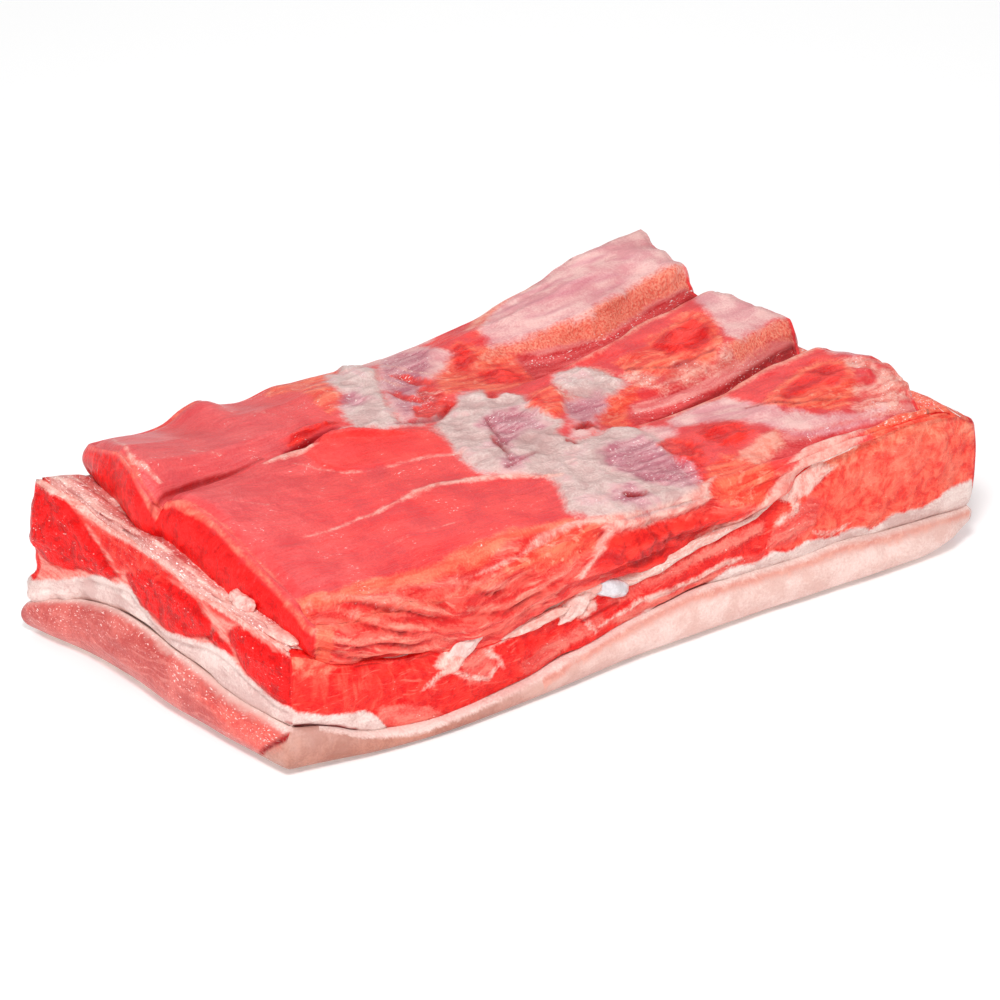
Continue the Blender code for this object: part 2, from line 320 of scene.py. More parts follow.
# the upper lean: flaps on the left, ridges and rib channels on the right
upperLean = {
    "length": 212,
    "cellSize": 0.95,
    "flapEnd": through(
        (-66, -95.5), (-58, -97.5), (-48, -99.5), (-38, -101), (-24, -101.5),
        (-12, -102), (-6, -101.5), (-1, -103.5), (14, -102.5), (24, -102), (32, -100.5),
    ),
    "flapSlant": through((-65, 0), (-58, 2.4), (-48, 4.4), (-22, 4.6), (-14, 3.4), (-7, 0.6), (-3, 0)),
    "ridgeEnd": through(
        (-69, 107), (-65, 106), (-60, 103), (-44, 106), (-27, 105), (-19, 99.5), (-8, 101),
        (0, 104.5), (14, 99.5), (25, 97), (35, 101), (42, 99), (55, 100), (66, 102.5),
    ),
    "wallRings": 26,
    # how the top's rim is rounded off; each pair is for the ridges and for the flaps
    "rimRounding": {"length": 210, "width": 150, "drop": (1.1, 1.8), "reach": (3, 4.5)},
    # from each section to the next, in mm over the surface
    "spacing": (0, 4, 5, 9, 16, 18, 5, 11, 5, 15, 14, 6, 15, 9, 12, 18),
    # section curves from front to back: where each runs and how high it is
    "sections": [
        {"y": outline["front"],
         "z": through((-101, 41), (-78, 40.5), (-60, 39), (-46, 39), (-30, 42), (-16, 43.5), (4, 42.5),
                      (33, 41), (50, 42.5), (75, 43.8), (92, 43.8), (103, 42.6), (110, 41))},
        {"y": through((-101, -61), (-30, -62), (20, -64), (44, -64), (100, -64)),
         "z": through((-101, 42.5), (-60, 41.5), (-30, 43.5), (4, 43.5),
                      (44, 43), (75, 44), (92, 43.8), (104, 42.6))},
        {"y": through((-101, -58), (-30, -59), (20, -61.5), (44, -61.5), (100, -61.5)),
         "z": through((-101, 43.6), (-60, 43),
                      (-30, 44.5), (20, 43.5), (44, 42), (56, 39.5), (75, 38.5), (100, 38))},
        {"y": through((-101, -54), (-30, -54), (30, -56), (48, -55),
                      (60, -52), (74, -51), (86, -52), (102, -54)),
         "z": through((-101, 44.6), (-60, 44), (-30, 45), (30, 44), (60, 43.2), (86, 43), (102, 42.5))},
        {"y": through((-101, -40), (30, -42), (102, -42)),
         "z": through((-101, 48.5), (-80, 46.8), (-50, 45.5),
                      (0, 45), (40, 44.5), (80, 45.5), (102, 45.5))},
        {"y": through((-101, -30), (0, -31), (34, -26), (46, -25), (62, -23.5), (78, -21), (97, -18.5)),
         "z": through((-101, 51.5), (-80, 48.5), (-50, 47), (0, 45.5),
                      (34, 42.8), (62, 43.5), (80, 45), (97, 45.2))},
        {"y": through((-101, -27), (0, -28), (34, -22), (46, -21), (62, -19.5), (78, -17), (97, -14.5)),
         "z": through((-101, 52.5), (-80, 49), (-50, 47.3), (0, 45.5),
                      (24, 43), (40, 37.5), (62, 35.8), (97, 35.8))},
        {"y": through((-101, -22), (0, -20), (36, -13), (54, -13), (73, -9.5), (91, -4), (101, -2)),
         "z": through((-101, 53.5), (-80, 49.8), (-50, 47.8), (0, 45.5),
                      (24, 43.5), (36, 41), (62, 39.7), (101, 40.5))},
        {"y": through((-101, -18), (0, -14), (36, -9.5), (54, -10), (73, -6), (91, -0.5), (101, 1.5)),
         "z": through((-101, 54), (-80, 50.2), (-50, 48), (0, 45.5),
                      (36, 43), (62, 43), (80, 44.5), (101, 45.3))},
        {"y": through((-101, -11), (-87, -7.5), (-62, -3.5), (0, -2), (36, 2), (70, 7), (101, 13)),
         "z": through((-101, 54), (-80, 50.3), (-50, 48), (0, 45.5), (40, 44), (75, 46), (101, 46.5))},
        {"y": through((-101, -6.8), (-94, -4.8), (-87, -3.2), (-78, -1.7),
                      (-70, 0.5), (-62, 2.8), (-55, 3.6), (-48, 4.2), (-38, 5.4),
                      (0, 8), (33, 11), (48, 13), (66, 19), (79, 22), (92, 25)),
         "z": through((-101, 52), (-80, 49.6), (-58, 48.2), (-40, 47.2), (0, 45.3), (24, 44),
                      (33, 44.5), (48, 46.6), (63, 46.7), (74, 46.4), (83, 46.6), (95, 47))},
        {"y": through((-101, -5), (-94, -3), (-87, -1.4), (-78, 0.2), (-70, 2.4),
                      (-62, 4.8), (-55, 5.8), (-48, 6.6), (-38, 8), (0, 12),
                      (33, 15.5), (48, 18), (66, 23.5), (79, 26.5), (92, 29.5)),
         "z": through((-101, 47.8), (-80, 46.9), (-70, 47.3), (-62, 47.4), (-56, 46.5), (-48, 46.1),
                      (-40, 46.4), (0, 45), (24, 41), (38, 36), (66, 34.8), (92, 35.5))},
        {"y": through((-101, -1.2), (-94, 0.4), (-87, 2), (-78, 4), (-70, 6.2),
                      (-62, 8.6), (-55, 10.2), (-48, 12), (-38, 14.4), (0, 22), (28, 28),
                      (40, 29.5), (53, 30.5), (69, 32.5), (86, 36.5), (98, 40)),
         "z": through((-101, 53), (-80, 49.5), (-58, 48), (-40, 47),
                      (0, 44.5), (28, 40), (53, 38.2), (86, 39.2), (98, 40))},
        {"y": through((-101, 5), (-87, 8), (-70, 11.5), (-58, 14.5), (-38, 19),
                      (0, 30), (31, 36), (50, 35), (64, 35.5), (81, 39), (97, 42.5)),
         "z": through((-101, 57.5), (-92, 55.5), (-80, 52.5), (-58, 49.5), (-38, 47.5),
                      (0, 44.5), (31, 43.3), (50, 44.3), (81, 46.6), (97, 47))},
        {"y": through((-101, 15), (-38, 30), (0, 39), (50, 47), (101, 56)),
         "z": through((-101, 58.3), (-92, 55.6), (-80, 52), (-70, 50), (-58, 50),
                      (-20, 46.5), (16, 44.5), (50, 46), (80, 48.5), (101, 48.5))},
        {"y": through((-101, 32), (-92, 36), (-82, 39.5), (-42, 45), (3, 50), (53, 59), (111, 69)),
         "z": through((-101, 52.5), (-90, 49.3), (-78, 46.4), (-72, 46.6), (-66, 48.6),
                      (-61, 49.2), (-56, 46.2), (-50, 44.6), (-35, 45.6), (-14, 43), (16, 41.4),
                      (30, 42), (50, 44.2), (65, 46.6), (80, 48.8), (92, 49.6), (101, 49.2))},
    ],
}


def upperRows():  # the section that each row of vertices lies on, as a number with a fraction
    rows = [0.0]
    for i, (near, far) in enumerate(zip(upperLean["sections"], upperLean["sections"][1:])):
        reach = max(abs(far["y"](x) - near["y"](x)) for x in np.linspace(-100, 100, 9))
        steps = max(2, math.ceil(reach / upperLean["cellSize"]))
        rows += [i + (k + 1) / steps for k in range(steps)]
    return np.array(rows)


def rowOf(v):
    rows = upperRows()
    return np.interp(v, np.linspace(0, 1, len(rows)), rows)


def acrossTop(v):  # mm across the top, measured over its ridges and channels
    return np.interp(rowOf(v), range(len(upperLean["spacing"])), np.cumsum(upperLean["spacing"]))


def onSections(row, x, which):
    values = np.stack([section[which](x) for section in upperLean["sections"]])
    low = np.clip(row.astype(int), 0, len(values) - 2)
    index = np.arange(len(x))
    return mix(values[low, index], values[low + 1, index], row - low)


def upperShape(u, v, ring):
    row = rowOf(v)
    leftY = onSections(row, np.full(len(u), -101.0), "y")
    rightY = onSections(row, np.full(len(u), 100.0), "y")
    wall, hidden = ring > 0, ring > upperLean["wallRings"]
    down = np.clip(ring / upperLean["wallRings"], 0, 1)
    leftX = upperLean["flapEnd"](leftY) + upperLean["flapSlant"](leftY) * (1 - down)
    x = mix(leftX, upperLean["ridgeEnd"](rightY), u)
    y, z = onSections(row, x, "y"), onSections(row, x, "z")
    # the walls drop to just under the seam
    slabV = np.clip((y - outline["front"](x)) / (outline["back"](x) - outline["front"](x)), 0, 1)
    slabU = np.clip((x + 105) / 215, 0, 1)
    foot = np.minimum(leanTopAt(x, y, np.where(u < 0.5, 0.06, slabU), slabV) - 1, z - 1)
    z = np.where(hidden, 26.0, np.where(wall, mix(z, foot, down), z))
    # the rim of the top is rounded, and the walls swell below it
    rounding = upperLean["rimRounding"]
    flapSide = 1 - smooth(x, -90, -60)
    fromEnd = np.minimum(u, 1 - u) * rounding["length"]
    fromSide = np.minimum(v * rounding["width"] / (1 + v), (1 - v) * rounding["width"])
    bend = 1 - smooth(np.minimum(fromEnd, fromSide), 0, mix(*rounding["reach"], flapSide))
    z = np.where(wall, z, z - mix(*rounding["drop"], flapSide) * bend ** 2)
    swell = np.where(u < 0.5, 2.4, 1.3) * np.sin(np.pi * np.clip(down * 1.1, 0, 1))
    swell = swell - 1.6 * smooth(down, 0.8, 1)
    swell = np.where(hidden, -9.0, np.where(wall, swell, -0.6))
    x, y = drawIn(u, v, x, y, -swell)
    return x, y, z


# outlines and lines on the top, in mm; past its edge they run on down the sides
upperPaint = {
    "orange": {
        "areas": [
            [(4, 30), (15, 38), (21, 41), (25, 37), (33, 33), (38, 25),
             (21, 12), (10, 11), (6, 15), (-2, 14), (-1, 20)],
            [(26, -63), (31, -57), (38, -54.5), (44, -57), (46, -62),
             (45, -68), (41, -71.5), (33, -69.5), (28, -67)],
            [(-41, -67), (-31, -65), (-20, -63), (-11, -67), (-13, -71), (-24, -72), (-34, -70)],
            [(77, -72), (110, -72), (110, -58), (92, -60), (78, -62.5)],
            [(12, -2), (19, 3), (26, 5), (26, -2), (22, -9), (15, -14), (10, -12), (10, -8)],
            [(30, -12), (36, -7), (42, -6), (48, -5), (43, -12), (38, -15), (30, -21), (23, -21)],
            [(47, 6), (58, 8), (70, 13), (82, 17), (85, 10), (83, 4),
             (78, -2), (72, -7), (62, -10), (52, -6), (48, -1)],
            [(61, -40), (69, -35.5), (77, -31), (85, -27.6), (92, -25.4), (99, -30),
             (96, -38), (92.6, -44), (87, -48.4), (81, -50.4), (73, -45)],
            [(-36, 19), (-35, 28), (-34, 35), (-42, 38), (-40, 44), (-26, 47),
             (-14, 46), (-20, 40), (-26, 34), (-26, 28), (-31, 21)],
            [(27, 41), (34, 52), (44, 55), (36, 44)],
        ],
    },
    "red": {
        "areas": [
            [(15, 38), (20, 40), (22, 36), (16, 28), (12, 30)],
            [(17, 27), (26, 29), (31, 22), (25, 15), (15, 18)],
            [(34, -41), (37.5, -46.5), (33, -54), (27, -62), (23.5, -60), (27, -50)],
            [(44, -36.5), (49, -38.5), (53, -43), (53, -48), (49, -51), (42, -50), (39.5, -45)],
            [(-15, -74), (-11, -71), (-7, -68.6), (2.4, -68.4), (15.6, -68.6), (27.4, -69.5),
             (36.5, -70.8), (40, -74), (36, -80), (22, -84), (8, -85), (-2, -84), (-12, -80)],
            [(9, 11), (12, 12), (7, 3), (5, 5)],
            [(14, -2), (18, -1), (15, -7)],
            [(60, 7), (70, 11), (79, 13), (82, 8), (78, 2), (70, -2), (62, 1)],
            [(-56, 9), (-49, 13), (-40, 15.6), (-36, 14), (-42, 12), (-49, 9.6), (-54, 6.8)],
            [(78, -33), (86, -29.6), (93, -28), (97, -31.6),
             (94, -38), (88, -41), (80, -39), (72, -40), (70, -38)],
        ],
    },
    "granular": {
        "areas": [
            [(80, -3), (90, -0.4), (99, 1.6), (104, 1), (104, -3), (97, -2.4), (87, -4.6), (80, -6)],
        ],
    },
    "torn": {
        "areas": [
            [(43.5, 2), (47, -7), (51, -11), (61, -11), (73, -9),
             (80, -6), (81, -2), (73, -6), (66, -3.5), (55, -5.5)],
            [(98.6, -29), (104, -32), (107, -38), (106, -46), (103, -52),
             (97, -55), (89, -57), (82, -53), (87, -48), (92, -43.6), (95.4, -38)],
            [(26, 4), (34, 8), (46, 6), (42, -4), (36, -6), (28, -12), (22, -8)],
        ],
    },
    "peach": {
        "lines": [
            [(28, 47, 1.2), (40, 55, 1.6), (56, 60, 1.4), (70, 65, 1.4), (88, 70, 1.5), (104, 71, 1.6)],
            [(36, 11.6, 0.9), (48, 13.2, 1.4), (63, 18.1, 1.5), (79, 22.2, 1.4), (92, 25.4, 1.3)],
            [(34, -25.4, 0.9), (48, -24.9, 1.5), (66, -23.2, 1.7), (82, -20.6, 1.7), (97, -18.6, 1.8)],
        ],
        "areas": [[(41, -57), (47, -54), (54, -51), (60, -49.5), (58, -56), (50, -59.5), (44, -63)]],
    },
    "silk": {
        "areas": [
            [(29, 44), (42, 54), (56, 60), (69, 66), (85, 72), (102, 72), (106, 60),
             (99, 43), (92, 43.5), (86, 42), (79, 40.5), (75, 38.4), (68, 37.4),
             (62, 36), (55, 34.8), (49, 35.4), (43, 35.2), (36, 34.6), (28, 36)],
            [(88, 28), (97, 28), (106, 15), (106, 3), (98, 1.8),
             (92, 0), (85, -1.6), (82.5, 2), (85.5, 10), (86, 18)],
            [(98, -20), (104, -24), (107, -31), (102, -30)],
            [(48, -26), (60, -27), (63, -36), (67, -43.5), (75, -49),
             (86, -52.6), (94, -53.6), (92, -55.4), (80, -54.6), (70, -53.6),
             (60, -52), (57, -46), (51, -39), (44, -35.5), (36, -35), (40, -29)],
            [(-9, 36), (-4, 45), (7, 51), (13, 48), (14, 41), (16, 37), (11, 33), (6, 29),
             (-2, 24), (-5, 14), (-13, 7), (-19, 5), (-22, 5), (-19, 17), (-15, 26)],
            [(23, -5), (29, -4), (35, -1), (38, -2), (37, -5), (33, -11),
             (27, -15), (22, -22), (13, -27), (10, -25), (18, -16)],
            [(-15, 41), (-13, 56), (0, 58), (16, 60), (17, 50), (8, 47), (-2, 44)],
            [(22, -33), (32, -29), (39, -32), (37, -37), (29, -42), (23, -38)],
        ],
    },
    "gristle": {
        "areas": [
            [(-20, 44), (-17, 41), (-8, 44), (-9, 36), (-15, 26), (-18, 19), (-21, 10),
             (-22, 5), (-16, 3), (-7, 10), (-4, 10), (-12, 2), (-18, 2), (-25, 3),
             (-33, 7), (-34, 14), (-31, 20), (-25, 26), (-26, 34), (-22, 40)],
            [(-16, 0), (-7, 5), (2, 12), (9, 13), (7, 6), (13, 8), (16, 3), (12, -4), (12, -11),
             (16, -15), (10, -21), (10, -27), (19, -27), (25, -23), (30, -29), (30, -38), (27, -47),
             (25, -53), (23, -61), (24, -66), (16, -67), (7, -67), (-3, -67), (-11, -64), (-15, -59),
             (-12, -53), (-8, -44), (-9, -40), (-18, -35), (-22, -31), (-22, -25), (-20, -17)],
            [(27, 6), (31, 9.5), (38, 9), (42.5, 4), (44, -4), (38, -8), (31, -8), (26, -2)],
            [(-18, 40), (-14, 50), (-10, 53), (-6, 50), (-9, 43)],
        ],
        "lines": [[(-37, 10, 0.7), (-24, 4, 1.0), (-10, 5, 0.9)]],
    },
    "mauve": {
        "areas": [
            [(-6, -7), (2, -2), (9, -2), (11, -8), (8, -17),
             (2, -16), (-3, -20), (-8, -24), (-9, -18), (-5, -13)],
            [(12, -36), (19, -34), (28, -36), (27, -49), (28, -58),
             (22, -63), (18, -60), (12, -58), (10, -50), (8, -44)],
            [(-26, 27), (-22, 28), (-21, 20), (-28, 19), (-30, 23)],
            [(-15, -29), (-9, -27), (-6, -31), (-12, -34), (-16, -33)],
            [(2, -57), (8, -56), (9, -63), (4, -66), (0, -62)],
            [(-19, 9), (-10, 8), (-6, 16), (-1, 26), (6, 34),
             (12, 42), (6, 49), (-3, 44), (-9, 34), (-14, 24)],
            [(23, -6), (30, -5), (36, -4), (33, -11), (26, -15), (20, -20), (18, -14)],
        ],
    },
    "white": {
        "lines": [
            [(-80, -36.5, -0.3), (-72, -36.5, 0.0), (-64, -35.5, 0.2),
             (-58, -35.5, 0.5), (-49, -33.5, 0.6), (-41, -31.5, 0.9),
             (-34, -30, 0.9), (-26, -32, 0.8), (-14, -37.5, 0.8), (-5, -42.5, 0.7)],
            [(-95, -14, -0.4), (-82, -20, -0.1), (-70, -24, -0.4)],
            [(-88, 16, -0.3), (-80, 10, 0.0), (-74, 8, -0.4)],
            [(-60, 34, -0.2), (-52, 26, 0.0), (-46, 20, -0.3)],
            [(-70, -50, -0.5), (-55, -47, -0.1), (-40, -48, -0.4)],
            [(-50, -66, 0.0), (-34.6, -66.4, 0.5), (-27.5, -64.8, 0.8),
             (-18.9, -63.4, 1.0), (-11.5, -64.4, 1.3), (-6, -66.7, 1.5), (-1, -67.2, 1.4),
             (6, -67.4, 1.3), (16, -66.8, 1.3), (23, -65.8, 1.3), (30, -62, 0.4)],
            [(-19, -77, 0.5), (-15.5, -73.8, 0.7), (-12.2, -71.5, 0.8), (-9, -69.3, 0.9), (-6, -67, 1.2)],
            [(-67, 1.0, 0.5), (-61, 2.2, 1.6), (-56, 2.8, 1.3), (-50, 3.6, 0.4)],
            [(-61, -2, -0.2), (-57, -8, 0.1), (-52, -13.6, 0.15), (-45, -16.2, 0.2),
             (-36, -16, 0.2), (-27, -16.4, 0.35), (-20, -19, 0.3)],
            [(-12, 36, 0.2), (-6.5, 26, 0.5), (-2.5, 16, 0.2)],
            [(-4, 42, 0.2), (1.5, 32, 0.5), (5.5, 24, 0.2)],
            [(-96, 28, 0.3), (-102, 8, 0.4), (-99, 0, 0.3)],
            [(22, -78, 0.6), (33, -76, 0.8), (42, -72, 1.3), (51, -68, 1.8),
             (58, -66, 2.4), (66, -65, 2.2), (74, -64, 1.2), (80, -64, 0.2)],
        ],
    },
    # dark red lines painted along creases, cracks and the foot of the flaps, as painted shade
    "dark": {
        "lines": [
            [(-103, -3.6, 0.4), (-94, -1.2, 0.8), (-87, 0.5, 0.9),
             (-78, 2.0, 0.7), (-70, 4.0, 0.3), (-65, 5.4, 0.0)],
            [(-58, 5.6, 0.8), (-52, 7.4, 1.2), (-46, 9.8, 0.9), (-39, 12, 0.4)],
            [(-9.6, -24, 0.3), (-8.4, -18, 0.7), (-7, -14, 0.3)],
            [(3.5, -59, 0.8), (6, -60.5, 1.1), (8.4, -61, 0.5)],
            [(16, -21, 0.8), (22, -18, 0.8), (21, -23, 0.6)],
            [(9, -26, 0.8), (10, -29, 0.5)],
            [(60, -36, 0.4), (72, -42, 0.5), (84, -46, 0.3)],
            [(-4, -71, 0.2), (-5, -74, 0.5), (-3, -77, 0.3), (6, -78, 0.2)],
            [(1, -70, 0.2), (0, -73, 0.5), (2, -76, 0.5), (1, -79, 0.2)],
            [(6, -71.5, 0.2), (8, -75, 0.5), (7, -78, 0.2)],
            [(11, -70, 0.2), (12.5, -73, 0.5), (10, -76, 0.3)],
            [(16.5, -71, 0.2), (15.5, -74, 0.5), (17, -77, 0.2)],
            [(21, -70, 0.2), (22, -73, 0.5), (20, -76, 0.2)],
            [(27, -71, 0.2), (26, -74.5, 0.4)],
            [(32, -71.5, 0.2), (32.5, -74, 0.4), (30, -76, 0.2)],
            [(3, -74, 0.2), (12, -74.5, 0.4), (19, -73, 0.2)],
            [(48, 1, 0.4), (60, -4, 0.5), (75, -3, 0.4)],
        ],
    },
    "raw": {  # red meat between the gristle
        "areas": [
            [(-14, 13), (-4, 12), (-2, 8), (-9, 5), (-14, 4), (-17, 7)],
            [(-15, 25), (-11, 24), (-7, 16), (-9, 13), (-13, 17)],
            [(-6, 34), (-2, 33), (2, 26), (0, 22), (-4, 26)],
            [(9, 11), (12, 12), (9, 5), (6, 6)],
            [(14, -20), (21, -17), (24, -20), (18, -23)],
            [(-1, 23), (-3, 13), (-7, 12), (-8.5, 17), (-5, 25)],
            [(-9, 24), (-11, 20), (-13, 20), (-11, 26)],
            [(26, -42), (33, -38), (36, -46), (32, -52), (28, -48)],
        ],
    },
    "raised": {  # lumps of gristle and torn flaps that stand up from the top
        "areas": [
            [(12, -2), (19, 3), (26, 5), (26, -2), (22, -9), (15, -14), (10, -12), (10, -8)],
            [(-59, 11), (-47, 16), (-39, 16), (-37, 13), (-43, 12), (-51, 9)],
            [(-37, 8), (-30, 3), (-20, -5), (-30, -2), (-40, 2), (-48, 3), (-48, 7)],
        ],
    },
    "flush": {  # where the lean on top is a brighter red
        "areas": [
            [(-47, 9.6), (-40, 11.6), (-34, 4.4), (-24, 2.4), (-18.5, -3.3), (-17, -10.5), (-20.5, -17),
             (-27.3, -15.7), (-36.4, -15.2), (-45.7, -15.4), (-51.6, -13.4), (-55.4, -7.1), (-54.4, 2)],
        ],
    },
    # grooves: sunk in the relief, and painted darker as painted shade
    "groove": {
        "lines": [
            [(-7.5, -16.5, 0.8), (-9.5, -24, 1.1), (-11.5, -30, 0.8)],
            [(-15, -33, 0.8), (-8, -30.5, 0.9), (-2, -28.5, 0.7)],
            [(-2, -5, 0.8), (-5, -14, 1.0), (-7, -21, 0.8)],
            [(4, -60, 1.2), (8, -61, 1.2)],
            [(-57, 6.5, 1.0), (-52, 7, 1.2), (-43, 11, 1.0), (-38, 12, 0.8)],
            [(-23, 5, 1.2), (-12, 3, 1.4), (-4, 9, 1.2)],
        ],
    },
}

upperLines = {
    # over x and how far down from the front edge: the folds of the lip
    "lipFolds": [
        [(-89, -5.5, 0.4), (-84, -5, 0.6), (-77, -1.5, 0.7),
         (-70, 0.5, 0.7), (-64, 3.5, 0.6), (-59, 5, 0.3)],
        [(-87, -1.3, 0.3), (-80, 2.4, 0.6), (-73, 5.7, 0.7), (-65, 7.5, 0.4)],
        [(-91, 4.5, 0.4), (-84, 7.5, 0.7), (-77, 7.8, 0.7), (-70, 10.5, 0.7), (-63, 10.8, 0.4)],
        [(-90, 9, 0.4), (-81.5, 13, 0.7), (-76, 13, 0.6), (-65, 14, 0.7), (-57, 13.8, 0.4)],
        [(-55, -2, 0.3), (-48, 1.5, 0.6), (-40, 4, 0.6), (-30, 3.5, 0.3)],
        [(-52, 6, 0.3), (-42, 9, 0.6), (-32, 9.5, 0.6), (-22, 8, 0.3)],
        [(-42, 13, 0.3), (-32, 14, 0.6), (-24, 12.5, 0.3)],
    ],
    # long faint streaks in the skin of the first ridge
    "streaks": [
        [(62, 50, 0.6), (70, 48.6, 1.5), (79, 47.5, 0.8)],
        [(54, 47.4, 0.5), (61, 46.6, 1.2), (69, 47.2, 0.4)],
        [(46, 48.8, 0.4), (52, 48, 1.2), (60, 48.8, 0.4)],
        [(37, 51, 0.3), (43, 50, 1.0), (50, 50.8, 0.4)],
        [(83, 54.5, 0.3), (86, 52.8, 1.0), (90, 52.4, 0.3)],
        [(52, 55.4, 0.3), (60, 54, 1.0), (68, 54.2, 0.3)],
        [(70, 59, 0.3), (76, 57, 0.9), (83, 57.5, 0.3)],
        [(44, 42.5, 0.3), (52, 41.4, 0.9), (60, 42, 0.3)],
        [(66, 43, 0.3), (74, 43, 0.9), (82, 45, 0.3)],
        [(48, -30, 0.4), (56, -31, 0.9), (63, -35, 0.4)],
        [(46, -33.5, 0.3), (55, -36, 0.8), (64, -41, 0.4), (72, -46, 0.3)],
        [(62, -53.5, 0.4), (72, -55, 1.0), (84, -56, 0.8), (92, -57, 0.3)],
    ],
    # in the rib channels, over x and ten times the section number
    "wallGrain": [[(22, 127), (30, 132), (43, 132), (55, 131), (65, 133),
                   (80, 134), (99, 134), (99, 121.5), (85, 123), (74, 122.2),
                   (62, 120.8), (48, 122.2), (35, 124), (28, 125.5)]],
    "wallPale": [
        [(34, 125), (48, 123.4), (62, 122), (74, 123.4), (85, 124.2),
         (104, 123), (104, 120.6), (85, 121.4), (60, 120), (40, 121)],
        [(40, 73), (60, 72.6), (80, 73), (104, 72), (104, 67.5), (60, 67.5), (40, 68)],
        [(56, 29.6), (70, 29.4), (90, 29), (104, 28.5), (104, 25.5), (80, 25.5), (60, 26)],
    ],
    "beds": [
        [(33, 124), (60, 122), (99, 123), (106, 122), (106, 103), (60, 103), (38, 104), (30, 112)],
        [(36, 66), (40, 74), (60, 76), (80, 78), (106, 79), (106, 53), (60, 54), (40, 54)],
        [(46, 18), (56, 28), (70, 30), (90, 31), (108, 31), (108, 14), (60, 13)],
    ],
    "bedMiddles": (119.5, 67.5, 26),
    "shadows": [
        [(36, 113, 2), (48, 114, 3), (70, 116, 4), (104, 118, 5)],
        [(36, 63, 1.5), (52, 64, 2), (78, 67, 3), (104, 70, 4)],
        [(54, 21, 1), (74, 22, 2), (104, 24, 3)],
    ],
    # painted shadow along the bottom of each channel
    "channelShadowLines": [
        [(40, 112.5, 0.5), (52, 113.5, 1.2), (70, 114.5, 1.8), (104, 115.5, 2.6)],
        [(42, 63, 0.3), (56, 64.5, 0.8), (78, 65.5, 1.5), (104, 67, 2.0)],
        [(58, 20, 0.2), (76, 21, 1.0), (104, 22, 1.5)],
    ],
}

